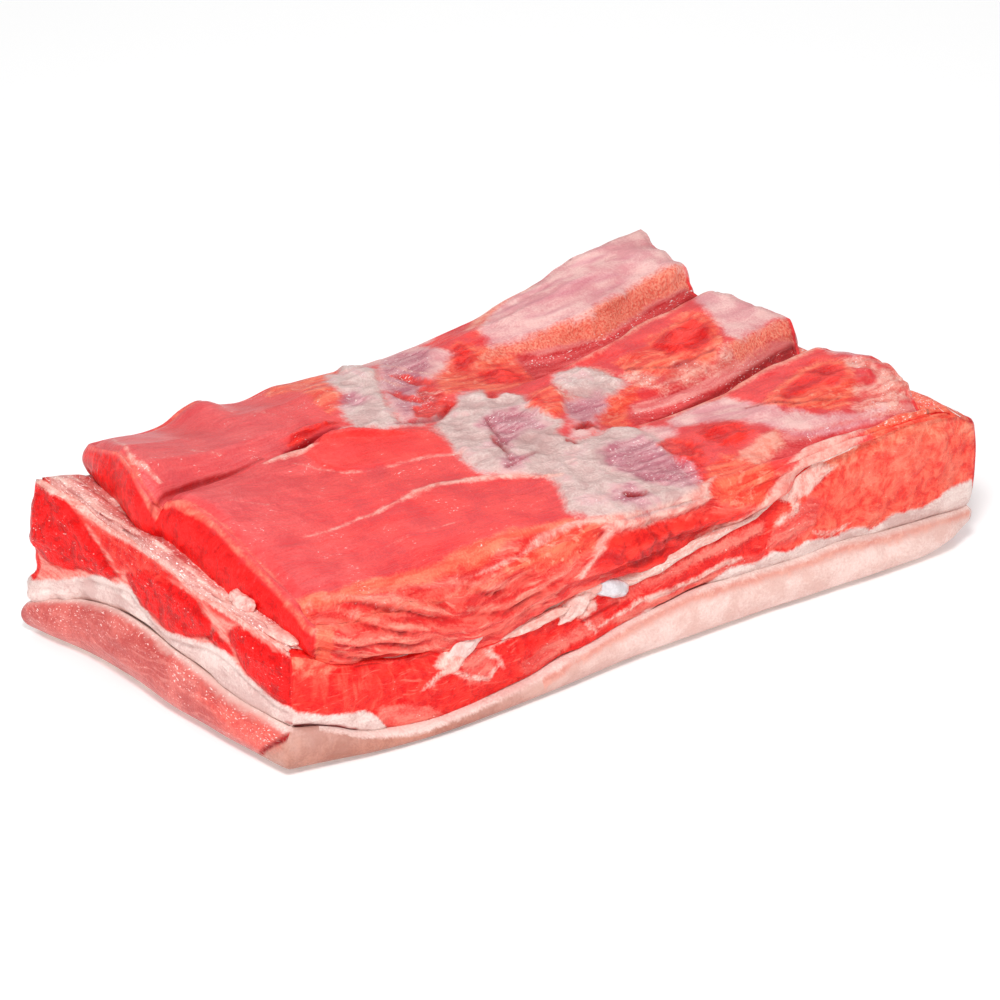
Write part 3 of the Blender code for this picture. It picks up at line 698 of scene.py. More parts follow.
upperLook = {"dark": (216, 56, 62), "light": (238, 74, 72), "texture": "clouds", "roughness": 0.36,
             "speckle": 0.22, "fibre": 0.25, "lumps": 0.25, "grit": 0.12, "shine": 0.28, "coat": 0.05}
upperLayers = [
    coat("heat", (236, 34, 34), (250, 56, 50), "clouds", soft=4.5, ragged=1.5, cover=0.75),
    coat("flush", (244, 32, 28), (255, 60, 50), "clouds", soft=2.8, ragged=1.8, cover=0.75),
    # silverskin, partly painted sheen: a greyish pink laid over the farther flaps
    coat("silverSkinAndSheen", (218, 88, 94), (232, 112, 114), "strands", soft=4.0, ragged=2.0, cover=0.5),
    coat("cut", (206, 2, 6), (246, 22, 20), "lumps", soft=0.9, ragged=0.5, depth=0.6, cavity=0.35),
    coat("lip", (226, 40, 38), (252, 98, 84), "crumple", spread=0.14, soft=0.9, depth=1.3, cavity=0.8),
    # painted highlights on the lip's folds, then painted shade along its creases
    coat("lip", (250, 128, 108), (255, 172, 150), "fibre",
         soft=0.9, patchy=("fibre", 0.06, 0.2), cover=0.5),
    coat("lip", (176, 10, 14), (200, 20, 22), "fibre",
         soft=0.9, patchy=("strands", 0.10, 0.18), cover=0.6),
    coat("crest", (244, 88, 64), (253, 132, 100), "crumple", soft=1.2, ragged=0.9, cover=0.85),
    # painted highlight along the tops of the lip's folds
    coat("foldTopHighlight", (244, 110, 94), (252, 156, 136), "fibre", soft=0.8, ragged=0.5, cover=0.7),
    coat("rim", (240, 84, 66), (250, 132, 108), "lumps", soft=0.6, ragged=0.35, cover=0.75),
    coat("orange", (238, 60, 44), (252, 116, 86), "crumple", soft=1.4, ragged=1.4, depth=1.0, cavity=0.5),
    # painted highlights on the orange meat
    coat("orange", (255, 150, 120), (255, 188, 160), "fibre",
         soft=1.2, patchy=("lumps", 0.05, 0.16), cover=0.45),
    coat("red", (212, 10, 14), (252, 50, 38), "crumple", soft=1.4, ragged=1.4, depth=1.1, cavity=1.0),
    coat("bed", (200, 36, 42), (228, 84, 84), "strands",
         soft=1.4, ragged=0.7, roughness=0.26, depth=0.5, cavity=0.3),
    coat("wallPale", (232, 122, 120), (240, 158, 150), "strands", soft=0.9, ragged=0.4, cover=0.8),
    coat("torn", (224, 104, 92), (246, 184, 168), "crumple",
         soft=1.6, ragged=1.6, patchy=("clouds", -0.2, 0.02), cover=0.85, depth=1.1, cavity=0.6),
    coat("granular", (238, 104, 84), (249, 152, 128), "grit",
         spread=0.24, soft=1.2, ragged=1.0, depth=0.3, cavity=0.2),
    coat("silk", (222, 146, 150), (241, 190, 184), "clouds",
         soft=1.8, ragged=1.1, roughness=0.4, depth=0.25),
    coat("streaks", (206, 116, 132), (224, 150, 158), "strands", soft=1.0, ragged=0.5, cover=0.7),
    coat("peach", (238, 136, 116), (248, 172, 152), "lumps", soft=1.5, ragged=0.9, cover=0.9),
    coat("gristle", (200, 158, 154), (224, 194, 187), "clouds",
         soft=1.6, ragged=1.0, roughness=0.3, depth=1.2, cavity=0.2),
    coat("gristle", (220, 150, 150), (210, 146, 156), "lumps",
         soft=2.4, ragged=1.6, patchy=("clouds", 0.01, 0.14), cover=0.55),
    coat("mauve", (184, 94, 114), (218, 156, 163), "strands",
         soft=2.0, ragged=1.6, cover=0.9, depth=0.7, cavity=0.3),
    # painted shade in the grooves
    coat("groove", (150, 40, 58), (182, 78, 92), "lumps", soft=0.9, ragged=0.4, cover=0.55),
    coat("raw", (206, 22, 26), (240, 66, 54), "lumps",
         soft=0.9, ragged=0.9, cover=0.9, depth=0.5, cavity=0.4),
    coat("white", (234, 144, 132), (242, 190, 176), "lumps",
         soft=0.8, ragged=0.5, roughness=0.4, cover=0.85, depth=0.5),
    # painted shade: the dark lines in creases, cracks and channels
    coat("dark", (138, 2, 8), (182, 12, 16), "lumps", soft=0.7, ragged=0.45, cover=0.85),
    # painted glints: small white highlights
    coat("glint", (255, 214, 206), (255, 246, 244), "grit",
         soft=1.2, ragged=2.5, patchy=("flecks", 0.12, 0.2)),
]


def upperPlaces(grid):
    # where each vertex is, the point of the top above it, and where it lies with the sides rolled out flat
    u, v, ring = grid.T
    at = SimpleNamespace(u=u, v=v, top=ring == 0, row=rowOf(v))
    at.x, at.y, at.z = upperShape(u, v, ring)
    at.topX, at.topY, topZ = upperShape(u, v, np.zeros(len(u)))
    at.ends, at.sides = borders(u, v)
    at.drop = np.where(at.top, 0, topZ - at.z)
    at.a = at.topX + np.where(at.ends, np.where(u < 0.5, -at.drop, at.drop), 0)
    at.b = at.topY + np.where(at.sides & ~at.ends, np.where(v < 0.5, -at.drop, at.drop), 0)
    at.fromFront = at.topY - outline["front"](at.topX)
    fromLeft = at.topX - upperLean["flapEnd"](at.topY) - upperLean["flapSlant"](at.topY)
    fromEnds = np.minimum(fromLeft, upperLean["ridgeEnd"](at.topY) - at.topX)
    fromSides = np.minimum(at.fromFront, outline["back"](at.topX) - at.topY)
    at.edge = np.where(at.top, np.minimum(fromEnds, fromSides), -at.drop)
    # the lip along the front: how far down it a vertex is, and the folds in it
    at.lipWall = at.sides & (v < 0.5) & ~at.ends & ~at.top
    at.down = np.where(at.top, -at.fromFront, at.drop)
    onLip = at.top | at.lipWall
    at.folds = np.where(onLip, strokeDepth(at.topX, at.down, *upperLines["lipFolds"]), -5)
    at.ridges = np.where(onLip, strokeDepth(at.topX, at.down + 1.7, *upperLines["lipFolds"]), -5)
    at.shadows = strokeDepth(at.topX, at.row * 10, *upperLines["shadows"])
    return at


def lipMasks(at, fields):  # the creased lip that hangs over the front, and the bright edge above it
    reach = mix(7.0, 0.4, smooth(at.topX, -34, -4))
    onTop = np.where(at.top, reach - at.fromFront, -5)
    fields["lip"] = np.where(at.lipWall, at.drop + reach - 0.6, onTop)
    # painted shade along the creases of the lip's folds
    fields["dark"] = np.maximum(fields["dark"], at.folds - 0.3)
    # painted highlight on each fold's top, just above its crease
    fields["foldTopHighlight"] = at.ridges + 0.3
    wander = noise(np.stack([at.topX, at.topY, 0 * at.topX], 1), 9, 51, 2)
    rim = 0.5 + 0.5 * wander - np.abs(at.edge - 0.2)
    fields["rim"] = rim - 6 * smooth(at.topX, -10, 20) * (at.edge > -0.01)
    crest = 2.0 + 1.2 * wander - np.abs(at.fromFront - reach - 0.6)
    crest = np.where(at.top & (at.topX < 4), crest, -5)
    fields["crest"] = np.maximum(crest, np.where(at.lipWall, 4.0 - (at.topX + 95.5), -5))


def paintedGlints(at, fields):  # painted glints: tiny highlights on the channel beds, the mauve patches and the torn edges, and a few on the left of the top
    toBeds = [np.abs(at.row * 10 - middle) for middle in upperLines["bedMiddles"]]
    glintZone = 0.8 - 0.6 * np.minimum.reduce(toBeds)
    specks = np.maximum(np.minimum(fields["bed"] - 0.6, glintZone), np.minimum(fields["mauve"], 1.4)) - 1.0
    specks = np.maximum(specks, np.where(at.top & (at.topX < 0), -2.0, off))
    specks = np.maximum(specks, 0.8 - toBeds[0] + np.where(at.topX < 34, off, 0))
    return np.maximum(specks, np.where(at.top, np.minimum(fields["torn"], 1) - 1.6, off))


def upperMasks(at):
    fields = {name: regionDepth(at.a, at.b, region) for name, region in upperPaint.items()}
    topX, topY, top, tenths = at.topX, at.topY, at.top, at.row * 10
    grainy = np.maximum(fields["granular"], areaDepth(topX, tenths, *upperLines["wallGrain"]))
    fields["granular"] = np.where(top, grainy, -5)
    fields["wallPale"] = np.where(top, areaDepth(topX, tenths, *upperLines["wallPale"]), -5)
    fields["bed"] = np.where(top, areaDepth(topX, tenths, *upperLines["beds"]), -5)
    fields["streaks"] = np.where(top, strokeDepth(topX, topY, *upperLines["streaks"]), -5)
    # painted shadow lines in the channels
    channelShade = strokeDepth(topX, tenths, *upperLines["channelShadowLines"])
    fields["dark"] = np.where(top, np.maximum(fields["dark"], channelShade), fields["dark"])
    isCut = at.ends | ((at.v > 0.5) & at.sides)
    fields["cut"] = np.where(isCut, -at.edge - np.where(at.u > 0.5, 3.5, 0.3), -2.0)
    lipMasks(at, fields)
    heat = 5 * noise(np.stack([at.a, at.b, 0 * at.a], 1), (26, 16, 10), 5, 2)
    heat = heat + mix(-5, 4, smooth(topX, -90, -30)) + 3 * smooth(-topY, 10, 50)
    fields["heat"] = np.where(topX < -15, heat, 3)
    fields["flush"] = np.where(top, fields["flush"], off)
    # silverskin and painted sheen, more on the farther rows and towards the left end
    farther = np.interp(at.row, (0, 8, 10.5, 12, 15), (-3, -1, 1, 4, 4))
    fields["silverSkinAndSheen"] = np.where(topX < -10, farther + mix(2.0, -5.0, smooth(topX, -95, -25)), -6.0)
    fields["glint"] = paintedGlints(at, fields)
    return fields


def upperRelief(at, fields):  # mm that the surface stands out from its smooth shape
    p = np.stack([at.x, at.y, at.z], 1)
    left, right = smooth(-at.topX, -10, 40), smooth(at.topX, 10, 60)
    along = np.stack([at.a, acrossTop(at.v), 0 * at.a], 1)
    relief = 0.5 * noise(p, 15, 1, 2) + mix(0.22, 0.08, left) * noise(along, (14, 2.4, 9), 2, 2)
    creased = np.stack([at.a, at.down * 1.2 - 0.36 * np.minimum(at.a, -50), 0 * at.a], 1)
    creases = 1.1 * noise(creased, (24, 3.0, 9), 7, 2) + 0.5 * noise(p, (5, 4, 3), 17, 2) - 0.4
    relief -= 1.1 * dome(at.folds, 0.9) - 0.5 * dome(at.ridges, 1.2)
    relief += smooth(fields["lip"], 0, 2) * creases
    wrinkles = 1 - np.abs(noise(p, (10, 7, 8), 11, 3))
    lumps = 0.6 + 1.1 * (wrinkles - 0.7) + 0.4 * noise(p, (3.6, 3, 3.6), 12, 2)
    relief += dome(fields["gristle"] + 0.5, 2.6) * lumps
    relief -= 0.9 * dome(fields["raw"], 1.5) + 0.6 * dome(fields["mauve"], 2.5)
    relief += 1.5 * dome(fields["raised"], 2.5) - 1.3 * dome(fields["groove"], 1.2)
    crossing = 0.35 * dome(fields["white"], 0.6)
    relief += 0.6 * dome(fields["flush"] + 0.5, 1.6) + crossing - 0.6 * dome(fields["dark"], 0.8)
    relief += dome(fields["red"], 2) * smooth(at.topX, -16, 0) * 0.8 * noise(p, (4, 3.2, 3.6), 61, 2)
    ragged = dome(fields["torn"], 2) * 0.5 * noise(p, (2.6, 2.2, 2.4), 22, 2)
    relief += dome(fields["granular"], 1) * 0.25 * noise(p, 2.2, 21) + ragged
    relief += right * 0.5 * noise(p, (9, 4, 6), 31, 2) * np.where(fields["bed"] > 0, 0.2, 1)
    relief += dome(fields["cut"], 1.5) * 0.35 * noise(p, (3, 3, 7), 41, 2)
    return relief


def upperFields(grid):
    at = upperPlaces(grid)
    fields = upperMasks(at)
    relief = upperRelief(at, fields)
    # painted shade: darker in the relief's hollows and lighter on its tops, along the channel shadows, in
    # the grooves and down the right ends; the gristle is painted darker towards the front and lighter
    # towards the back, as painted shade and light
    shade = np.clip(0.14 * relief, -0.3, 0.12) - 0.35 * dome(at.shadows, 3)
    shade -= 0.2 * dome(fields["groove"], 1.2)
    shade -= 0.3 * smooth(at.drop, 2, 12) * ((at.u > 0.5) & at.ends)
    fields["shade"] = shade + dome(fields["gristle"], 2) * mix(-0.07, 0.06, smooth(at.b, -45, 20))
    return fields, relief


def upperGrain(u, v, ring, place, sides):
    # along the muscle on top, down the ends, along the front and back
    topX, _, topZ = upperShape(u, v, np.zeros(len(u)))
    drop = np.where(ring > 0, topZ - place[:, 2], 0)
    along = topX + np.where(sides["left"], -drop, np.where(sides["right"], drop, 0))
    overFront = 0.3 * np.minimum(topX, -50) - drop
    across = acrossTop(v) + np.where(sides["front"], overFront, np.where(sides["back"], drop, 0))
    return np.stack([along, across, 0.3 * place[:, 2]], 1)


def makeUpperLean():
    columns = round(upperLean["length"] / upperLean["cellSize"])
    skin = layerSkin(columns, len(upperRows()) - 1, upperLean["wallRings"])
    piece, grid = shapedPiece("upperLean", skin, upperShape, softening=2)
    paintPiece(piece, grid, *upperFields(grid), upperGrain)
    piece.data.materials.append(layeredMaterial("upper lean", upperLook, upperLayers))
    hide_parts("upper_lean")
    print("upper lean:", len(piece.data.polygons), "faces")
    return piece


# the three layers below it: the fat seam, the lower lean and the outer fat
layers = {
    "cellsAlong": 236,
    "cellsAcross": 132,
    "leanRings": 34,
    "fatRings": 22,
    "seamRings": 4,
    "fatBulge": 2.4,
    "rindRoll": 1.8,
    "endRoll": 4.2,
    "seamFront": through(  # how thick the seam is along the front
        (-102, 0.7), (-50, 0.7), (-42, 2.4), (-22, 2.6), (-8, 1.8),
        (3, 1.9), (30, 1.6), (44, 2.0), (60, 2.2), (86, 1.2), (113, 0.8),
    ),
    "seamEnd": 16,  # how much of the seam is painted as a ledge at the ends
    # how far the seam stands back along the front, and out where negative
    "seamRecess": through((-110, 3.0), (-52, 3.0),
                          (-44, 0.6), (-10, 0.3), (-4, -0.5), (60, -0.6), (90, 0.3)),
}


def seamThickness(x, v):
    return mix(np.where(v < 0.5, layers["seamFront"](x), 1.0), 1.6, smooth(np.minimum(v, 1 - v), 0, 0.05))


def seamShape(u, v, ring):
    x, y = footprint(u, v, 1.0)
    z = leanTopAt(x, y, u, v) + seamThickness(x, v) - ring * 0.8
    hidden = ring > layers["seamRings"]
    recess = np.where(v < hair, layers["seamRecess"](x), 0.5)
    x, y = drawIn(u, v, x, y, np.where(ring == 0, recess + 0.4, np.where(hidden, 12.0, recess)))
    return x, y, np.where(hidden, 24.0, z)


def leanShape(u, v, ring):
    x, y = footprint(u, v)
    top, foot = leanTopAt(x, y, u, v), sideHeight(fatTop, x, y, u, v)
    down = np.clip(ring / layers["leanRings"], 0, 1)
    z = np.where(ring > 0, mix(top, foot - 1, down), top)
    bulge = 1.1 - 1.1 * np.sin(np.pi * down) ** 0.6 + 1.0 * smooth(down, 0.92, 1)
    inset = np.where(ring == 0, 1.2, bulge)
    toe = 3.2 * smooth(down, 0.66, 0.95) * smooth(y, 18, 33)  # the foot of the left end's far corner
    inset = inset - np.where((ring > 0) & (u < 0.5), toe, 0)
    hidden = ring > layers["leanRings"]
    x, y = drawIn(u, v, x, y, np.where(hidden, 12.0, inset))
    return x, y, np.where(hidden, 4.0, z)


def fatShape(u, v, ring):  # the sheet is the rind underneath, and the walls rise from it
    x, y = footprint(u, v)
    top = sideHeight(fatTop, x, y, u, v) + 0.3
    up = np.clip(ring / layers["fatRings"], 0, 1)
    z = np.where(ring > 0, top * up, 0.0)
    rolled = smooth(u, 0.91, 1)
    bulge = np.sin(np.pi * up) ** 0.7
    roll = layers["rindRoll"] + layers["endRoll"] * rolled
    inset = roll * (1 - smooth(up, 0, mix(0.3, 0.9, rolled))) ** 2
    inset = inset - layers["fatBulge"] * bulge + 1.4 * smooth(up, 0.85, 1)
    left, right = 1 - smooth(u, 0, 0.07), smooth(u, 0.93, 1)
    front, back = 1 - smooth(v, 0, 0.12), smooth(v, 0.88, 1)
    leftInset = inset - (1.0 + 0.6 * smooth(y, 14, 34)) * bulge
    rightInset = inset + (1.6 + 1.8 * front) * bulge
    frontInset = inset + 1.8 * smooth(x, 106, 118) * bulge
    hiddenX, hiddenY = drawIn(u, v, x, y, 14.0)
    hidden = ring > layers["fatRings"]
    x = np.where(hidden, hiddenX, x + leftInset * left - rightInset * right)
    y = np.where(hidden, hiddenY, y + frontInset * front - inset * back)
    return x, y, np.where(hidden, 3.0, z)


leanPaint = {
    "front": {  # over x and height
        "white": {
            "areas": [
                [(-62, 20), (-59, 24), (-51, 25), (-48, 23), (-52, 20), (-56, 16), (-60, 18)],
                [(-25, 22), (-20, 24), (-14, 26), (-11, 21), (-11, 19), (-16, 18), (-20, 20)],
                [(48, 33), (52, 38), (61, 42), (73, 44), (80, 45), (76, 41.5),
                 (72, 39), (66, 36.5), (61, 34), (56, 32), (52, 31)],
            ],
            "lines": [
                [(-66, 14, 0.3), (-60, 17, 0.7), (-55, 18.5, 0.8)],
                [(-56, 16, 0.5), (-51, 13, 0.4), (-46, 11, 0.5), (-44, 13, 0.4)],
                [(-44, 20, 0.8), (-35, 21.5, 0.9), (-24, 22.5, 1.3)],
                [(-12, 14, 0.0), (-5, 15.5, 0.3), (3, 17.2, 0.6),
                 (13, 16.7, 0.5), (22, 17, 0.7), (30, 19.3, 0.7), (36, 19, 0.3)],
                [(48, 25.9, 0.5), (50, 28, 0.6), (54, 28, 0.8),
                 (53, 31.7, 0.8), (57, 32.6, 1.0), (61, 35, 1.4)],
                [(-18, 21, 0.2), (-14, 16, 0.4), (-11, 13, 0.2)],
                [(-47, 19, 0.2), (-43, 16, 0.4), (-41, 12, 0.2)],
                [(60, 20, 0.5), (66, 17.5, 0.8), (72, 19, 0.3)],
            ],
        },
        "pink": {
            "areas": [
                [(-55, 18), (-49, 21), (-44, 19), (-44, 14), (-47, 10), (-52, 12)],
                [(-6, 14.5), (5, 17), (20, 16), (26, 18), (44, 19), (44, 13), (20, 12), (0, 11)],
                [(45, 20), (47, 25), (58, 31), (64, 29), (60, 22), (52, 18)],
                [(-10, 19), (2, 22), (16, 24), (34, 27), (44, 28), (44, 24), (30, 23), (14, 21), (0, 19)],
                [(-36, 12), (-22, 15), (-10, 18), (-8, 14), (-22, 10), (-34, 8)],
                [(-78, 12), (-70, 12), (-64, 9), (-60, 5), (-74, 4), (-80, 8)],
            ],
        },
        "orange": {
            "areas": [
                [(75, 46), (101, 48), (114, 46), (113, 33), (96, 38), (86, 39), (79, 38)],
                [(64, 39.5), (69, 40.5), (74.5, 39.8), (72.5, 36.8), (66, 37)],
                [(-103, 29), (-103, 36), (-92, 31), (-87, 27), (-92, 26), (-98, 27)],
            ],
        },
        "island": {
            "areas": [[(63, 39.2), (66, 41.2), (70, 41.8), (75, 40.6), (74, 38), (70, 36.6), (66, 37)]],
        },
        "mottled": {
            "areas": [
                [(46, 19), (48, 29), (58, 33), (70, 37), (84, 46), (116, 48), (116, 17), (90, 15), (60, 16)],
            ],
        },
        # dark lines painted in the cracks under the lip and between the layers, as painted shade
        "dark": {
            "lines": [
                [(-92, 28.6, 0.5), (-84, 26, 0.7), (-74, 24.6, 0.4), (-66, 23.6, 0.7), (-58, 23.4, 0.5)],
                [(-48, 21, 0.4), (-42, 20.6, 0.6), (-36, 21.6, 0.5)],
                [(-103, 12.4, 0.9), (-97, 12.2, 0.8), (-90, 10.2, 0.6), (-84, 7.6, 0.35)],
                [(-16, 17.4, 0.3), (-10, 18.4, 0.3), (-4, 18.8, 0.3)],
            ],
        },
    },
    "left": {  # over y and height
        "bundle": {
            "areas": [
                [(38, 31), (36, 25), (30, 22), (23, 23), (14, 24.5), (6, 26), (2, 29),
                 (5, 31), (12, 35.5), (19, 41), (26, 46), (32, 47), (38, 45)],
                [(-1, 31), (-7, 35), (-15, 37), (-23, 35.2), (-31, 34.7), (-36, 31.5),
                 (-36, 29), (-34.6, 25.9), (-27, 22.8), (-16.4, 21), (-8.4, 23), (-3.4, 26)],
                [(-33.5, 26), (-37, 30), (-41, 28.5), (-44, 25.5), (-39, 24.2)],
                [(-42, 31), (-46.5, 34.7), (-54.5, 33.7), (-61, 32.5), (-72, 34),
                 (-72, 18), (-63.6, 17.2), (-57.4, 18.4), (-50.5, 21.2), (-46, 25)],
            ],
        },
        "strip": {
            "areas": [
                [(20, 42), (16, 39.7), (6, 39), (-1.5, 40.4), (-11, 38.9), (-20, 38.8),
                 (-25, 37), (-17, 35.6), (-9, 35.8), (-5, 33.7), (2, 31.5), (9.6, 35)],
                [(-27, 36), (-36, 37.5), (-50, 37), (-68, 35), (-68, 32), (-50, 35), (-36, 33.5)],
            ],
        },
        "white": {
            "lines": [[(24, 46, 0.6), (14, 41.5, 0.6), (3, 41, 0.5), (-10, 41.5, 0.6), (-20, 40, 0.4)]],
        },
        # dark lines painted in the cracks between bundles and at the corner, as painted shade
        "dark": {
            "lines": [
                [(-31, 24.6, 0.3), (-35, 26.5, 0.5), (-36.5, 30, 0.3)],
                [(-70, 13, 0.9), (-62, 13.6, 0.3)],
            ],
        },
    },
}

leanLook = {"dark": (218, 16, 18), "light": (248, 48, 38), "texture": "lumps", "roughness": 0.36,
            "speckle": 0.3, "fibre": 0.35, "lumps": 0.6, "grit": 0.2, "shine": 0.2, "coat": 0.03}
leanLayers = [
    coat("web", (232, 106, 96), (244, 158, 144), "fibre", soft=0.8),
    coat("bundle", (192, 0, 2), (238, 10, 10), "lumps", soft=0.7, ragged=0.7, depth=1.1, cavity=0.8),
    coat("streaks", (246, 96, 80), (252, 136, 116), "fibre",
         soft=1.0, patchy=("fibre", 0.08, 0.2), cover=0.4),
    coat("upright", (250, 74, 56), (254, 104, 84), "lumps",
         soft=4.0, patchy=("upright", -0.02, 0.16), cover=0.5),
    coat("mottled", (234, 56, 46), (248, 102, 80), "lumps", soft=1.2, ragged=1.0, depth=0.8, cavity=0.5),
    coat("mottled", (240, 108, 84), (244, 130, 108), "lumps",
         soft=0.8, patchy=("clouds", -0.02, 0.12), cover=0.55),
    coat("orange", (238, 58, 48), (248, 122, 100), "lumps", soft=1.4, ragged=1.0, depth=0.9, cavity=0.4),
    coat("orange", (248, 126, 92), (254, 158, 126), "lumps",
         soft=1.6, patchy=("clouds", -0.12, 0.08), cover=0.5),
    coat("strip", (220, 18, 18), (240, 66, 54), "lumps", soft=1.2, ragged=1.0, depth=0.9, cavity=0.4),
    coat("pink", (232, 70, 64), (240, 122, 108), "crumple", soft=1.0, ragged=0.9, depth=1.6, cavity=0.6),
    coat("layer", (208, 172, 166), (232, 206, 199), "clouds",
         soft=0.6, ragged=0.5, roughness=0.34, depth=0.5, cavity=0.1),
    coat("white", (232, 150, 138), (242, 200, 188), "lumps",
         soft=0.7, ragged=0.6, roughness=0.4, cover=0.9, depth=0.8),
    # painted shade in the cracks
    coat("dark", (130, 8, 12), (170, 16, 18), "lumps", soft=0.5, ragged=0.4, cover=0.85),
    # painted glints
    coat("glint", (255, 200, 190), (255, 240, 236), "grit",
         soft=1.2, ragged=2.0, patchy=("flecks", 0.2, 0.27), cover=0.75),
]

fatPaint = {  # on the ends, over y and height
    "lobe": [(-75, -2), (-50, -2), (-56, 3), (-61, 7.5), (-65, 12), (-75, 18)],
    "flush": [(-34, 11), (-48, 12), (-60, 12), (-64, 9), (-56, 4), (-44, 7)],
    # the crack at the corner, painted deep red: the meat in it, darkened as painted shade
    "crack": [(-53, 0, 0.2), (-57, 3.5, 0.4), (-61, 7.5, 0.6), (-66, 12, 0.9), (-71, 15, 1.0)],
}

fatLook = {"dark": (222, 180, 170), "light": (238, 208, 200), "texture": "clouds", "roughness": 0.42,
           "speckle": 0.16, "fibre": 0.2, "lumps": 0.25, "grit": 0.16, "shine": 0.3, "coat": 0.05}
fatLayers = [
    coat("tan", (160, 98, 80), (190, 130, 112), "clouds", soft=8.0, ragged=1.6),
    coat("salmon", (186, 72, 68), (212, 104, 96), "clouds",
         soft=1.4, ragged=0.8, roughness=0.28, depth=0.4, cavity=0.1),
    coat("salmon", (224, 134, 124), (232, 154, 144), "lumps",
         soft=1.4, patchy=("fibre", 0.02, 0.16), cover=0.4),
    coat("flush", (222, 70, 62), (236, 106, 92), "lumps", soft=2.4, ragged=0.8, cover=0.8),
    coat("pinkLine", (212, 126, 110), (226, 160, 144), "lumps", soft=1.1, ragged=0.9, cover=0.85),
    coat("pale", (222, 186, 178), (238, 212, 204), "strands", soft=0.6, ragged=0.5),
    coat("rind", (130, 70, 54), (206, 154, 134), "fibre", soft=0.6, ragged=0.3, roughness=0.5),
    coat("skin", (214, 164, 142), (236, 196, 176), "clouds", soft=0.8, roughness=0.5),
    # the crack's meat, darkened as painted shade
    coat("dark", (130, 10, 14), (180, 22, 24), "lumps", soft=0.6, ragged=0.4),
    # painted glints
    coat("glint", (246, 196, 188), (255, 236, 232), "grit",
         soft=1.6, ragged=2.0, patchy=("flecks", 0.12, 0.21), cover=0.8),
]

seamLook = {"dark": (204, 124, 118), "light": (232, 176, 166), "texture": "strands", "roughness": 0.32,
            "speckle": 0.2, "fibre": 0.5, "lumps": 0.5, "grit": 0.12, "shine": 0.35, "coat": 0.1}
seamLayers = [
    coat("pink", (196, 78, 78), (224, 136, 128), "strands", soft=1.8, ragged=1.2),
    coat("pale", (230, 168, 156), (243, 208, 196), "fibre", soft=0.8, ragged=1.0),
    coat("raw", (196, 26, 30), (232, 92, 84), "lumps", soft=1.0, ragged=0.8),
    coat("orange", (240, 80, 60), (250, 136, 108), "lumps", soft=3.0, ragged=1.5),
    # painted glints
    coat("glint", (255, 216, 210), (255, 248, 246), "grit", soft=0.8, patchy=("flecks", 0.13, 0.18)),
]


def sideGrain(u, v, ring, place, sides):  # along the side, and up it
    x, y, z = place.T
    endwise = sides["left"] | sides["right"]
    return np.stack([np.where(endwise, y, x), z, 0.3 * np.where(endwise, x, y)], 1)


def sideOf(u, v, ring):  # which side a vertex of a wall is on
    ends, sides = borders(u, v)
    wall = ring > 0
    return {
        "front": wall & sides & (v < 0.5) & ~ends,
        "back": wall & sides & (v > 0.5) & ~ends,
        "left": wall & ends & (u < 0.5),
        "right": wall & ends & (u > 0.5),
    }


def asSeen(x, y, z, foot, top, sides, feet, tops):
    # where a point is read from the paint: the far sides repeat the near sides' paint turned round,
    # about the slab's middle on the back, and squeezed on the longer right end
    share = (z - foot) / np.maximum(top - foot, 0.1)
    far, farEnd = 6 - x, 36 - 0.74 * (y + 66)
    nearEnds = np.where(sides["left"], y, farEnd)
    p = np.where(sides["front"], x, np.where(sides["back"], far, nearEnds))
    height = np.where(sides["back"], mix(feet["front"](far), tops["front"](far), share), z)
    height = np.where(sides["right"], mix(feet["left"](farEnd), tops["left"](farEnd), share), height)
    return p, height


def atCorner(u, v):  # 0 on the slab's upright corners, 1 away from them
    return smooth(np.maximum(*fromBorders(u, v)), 0, 3)


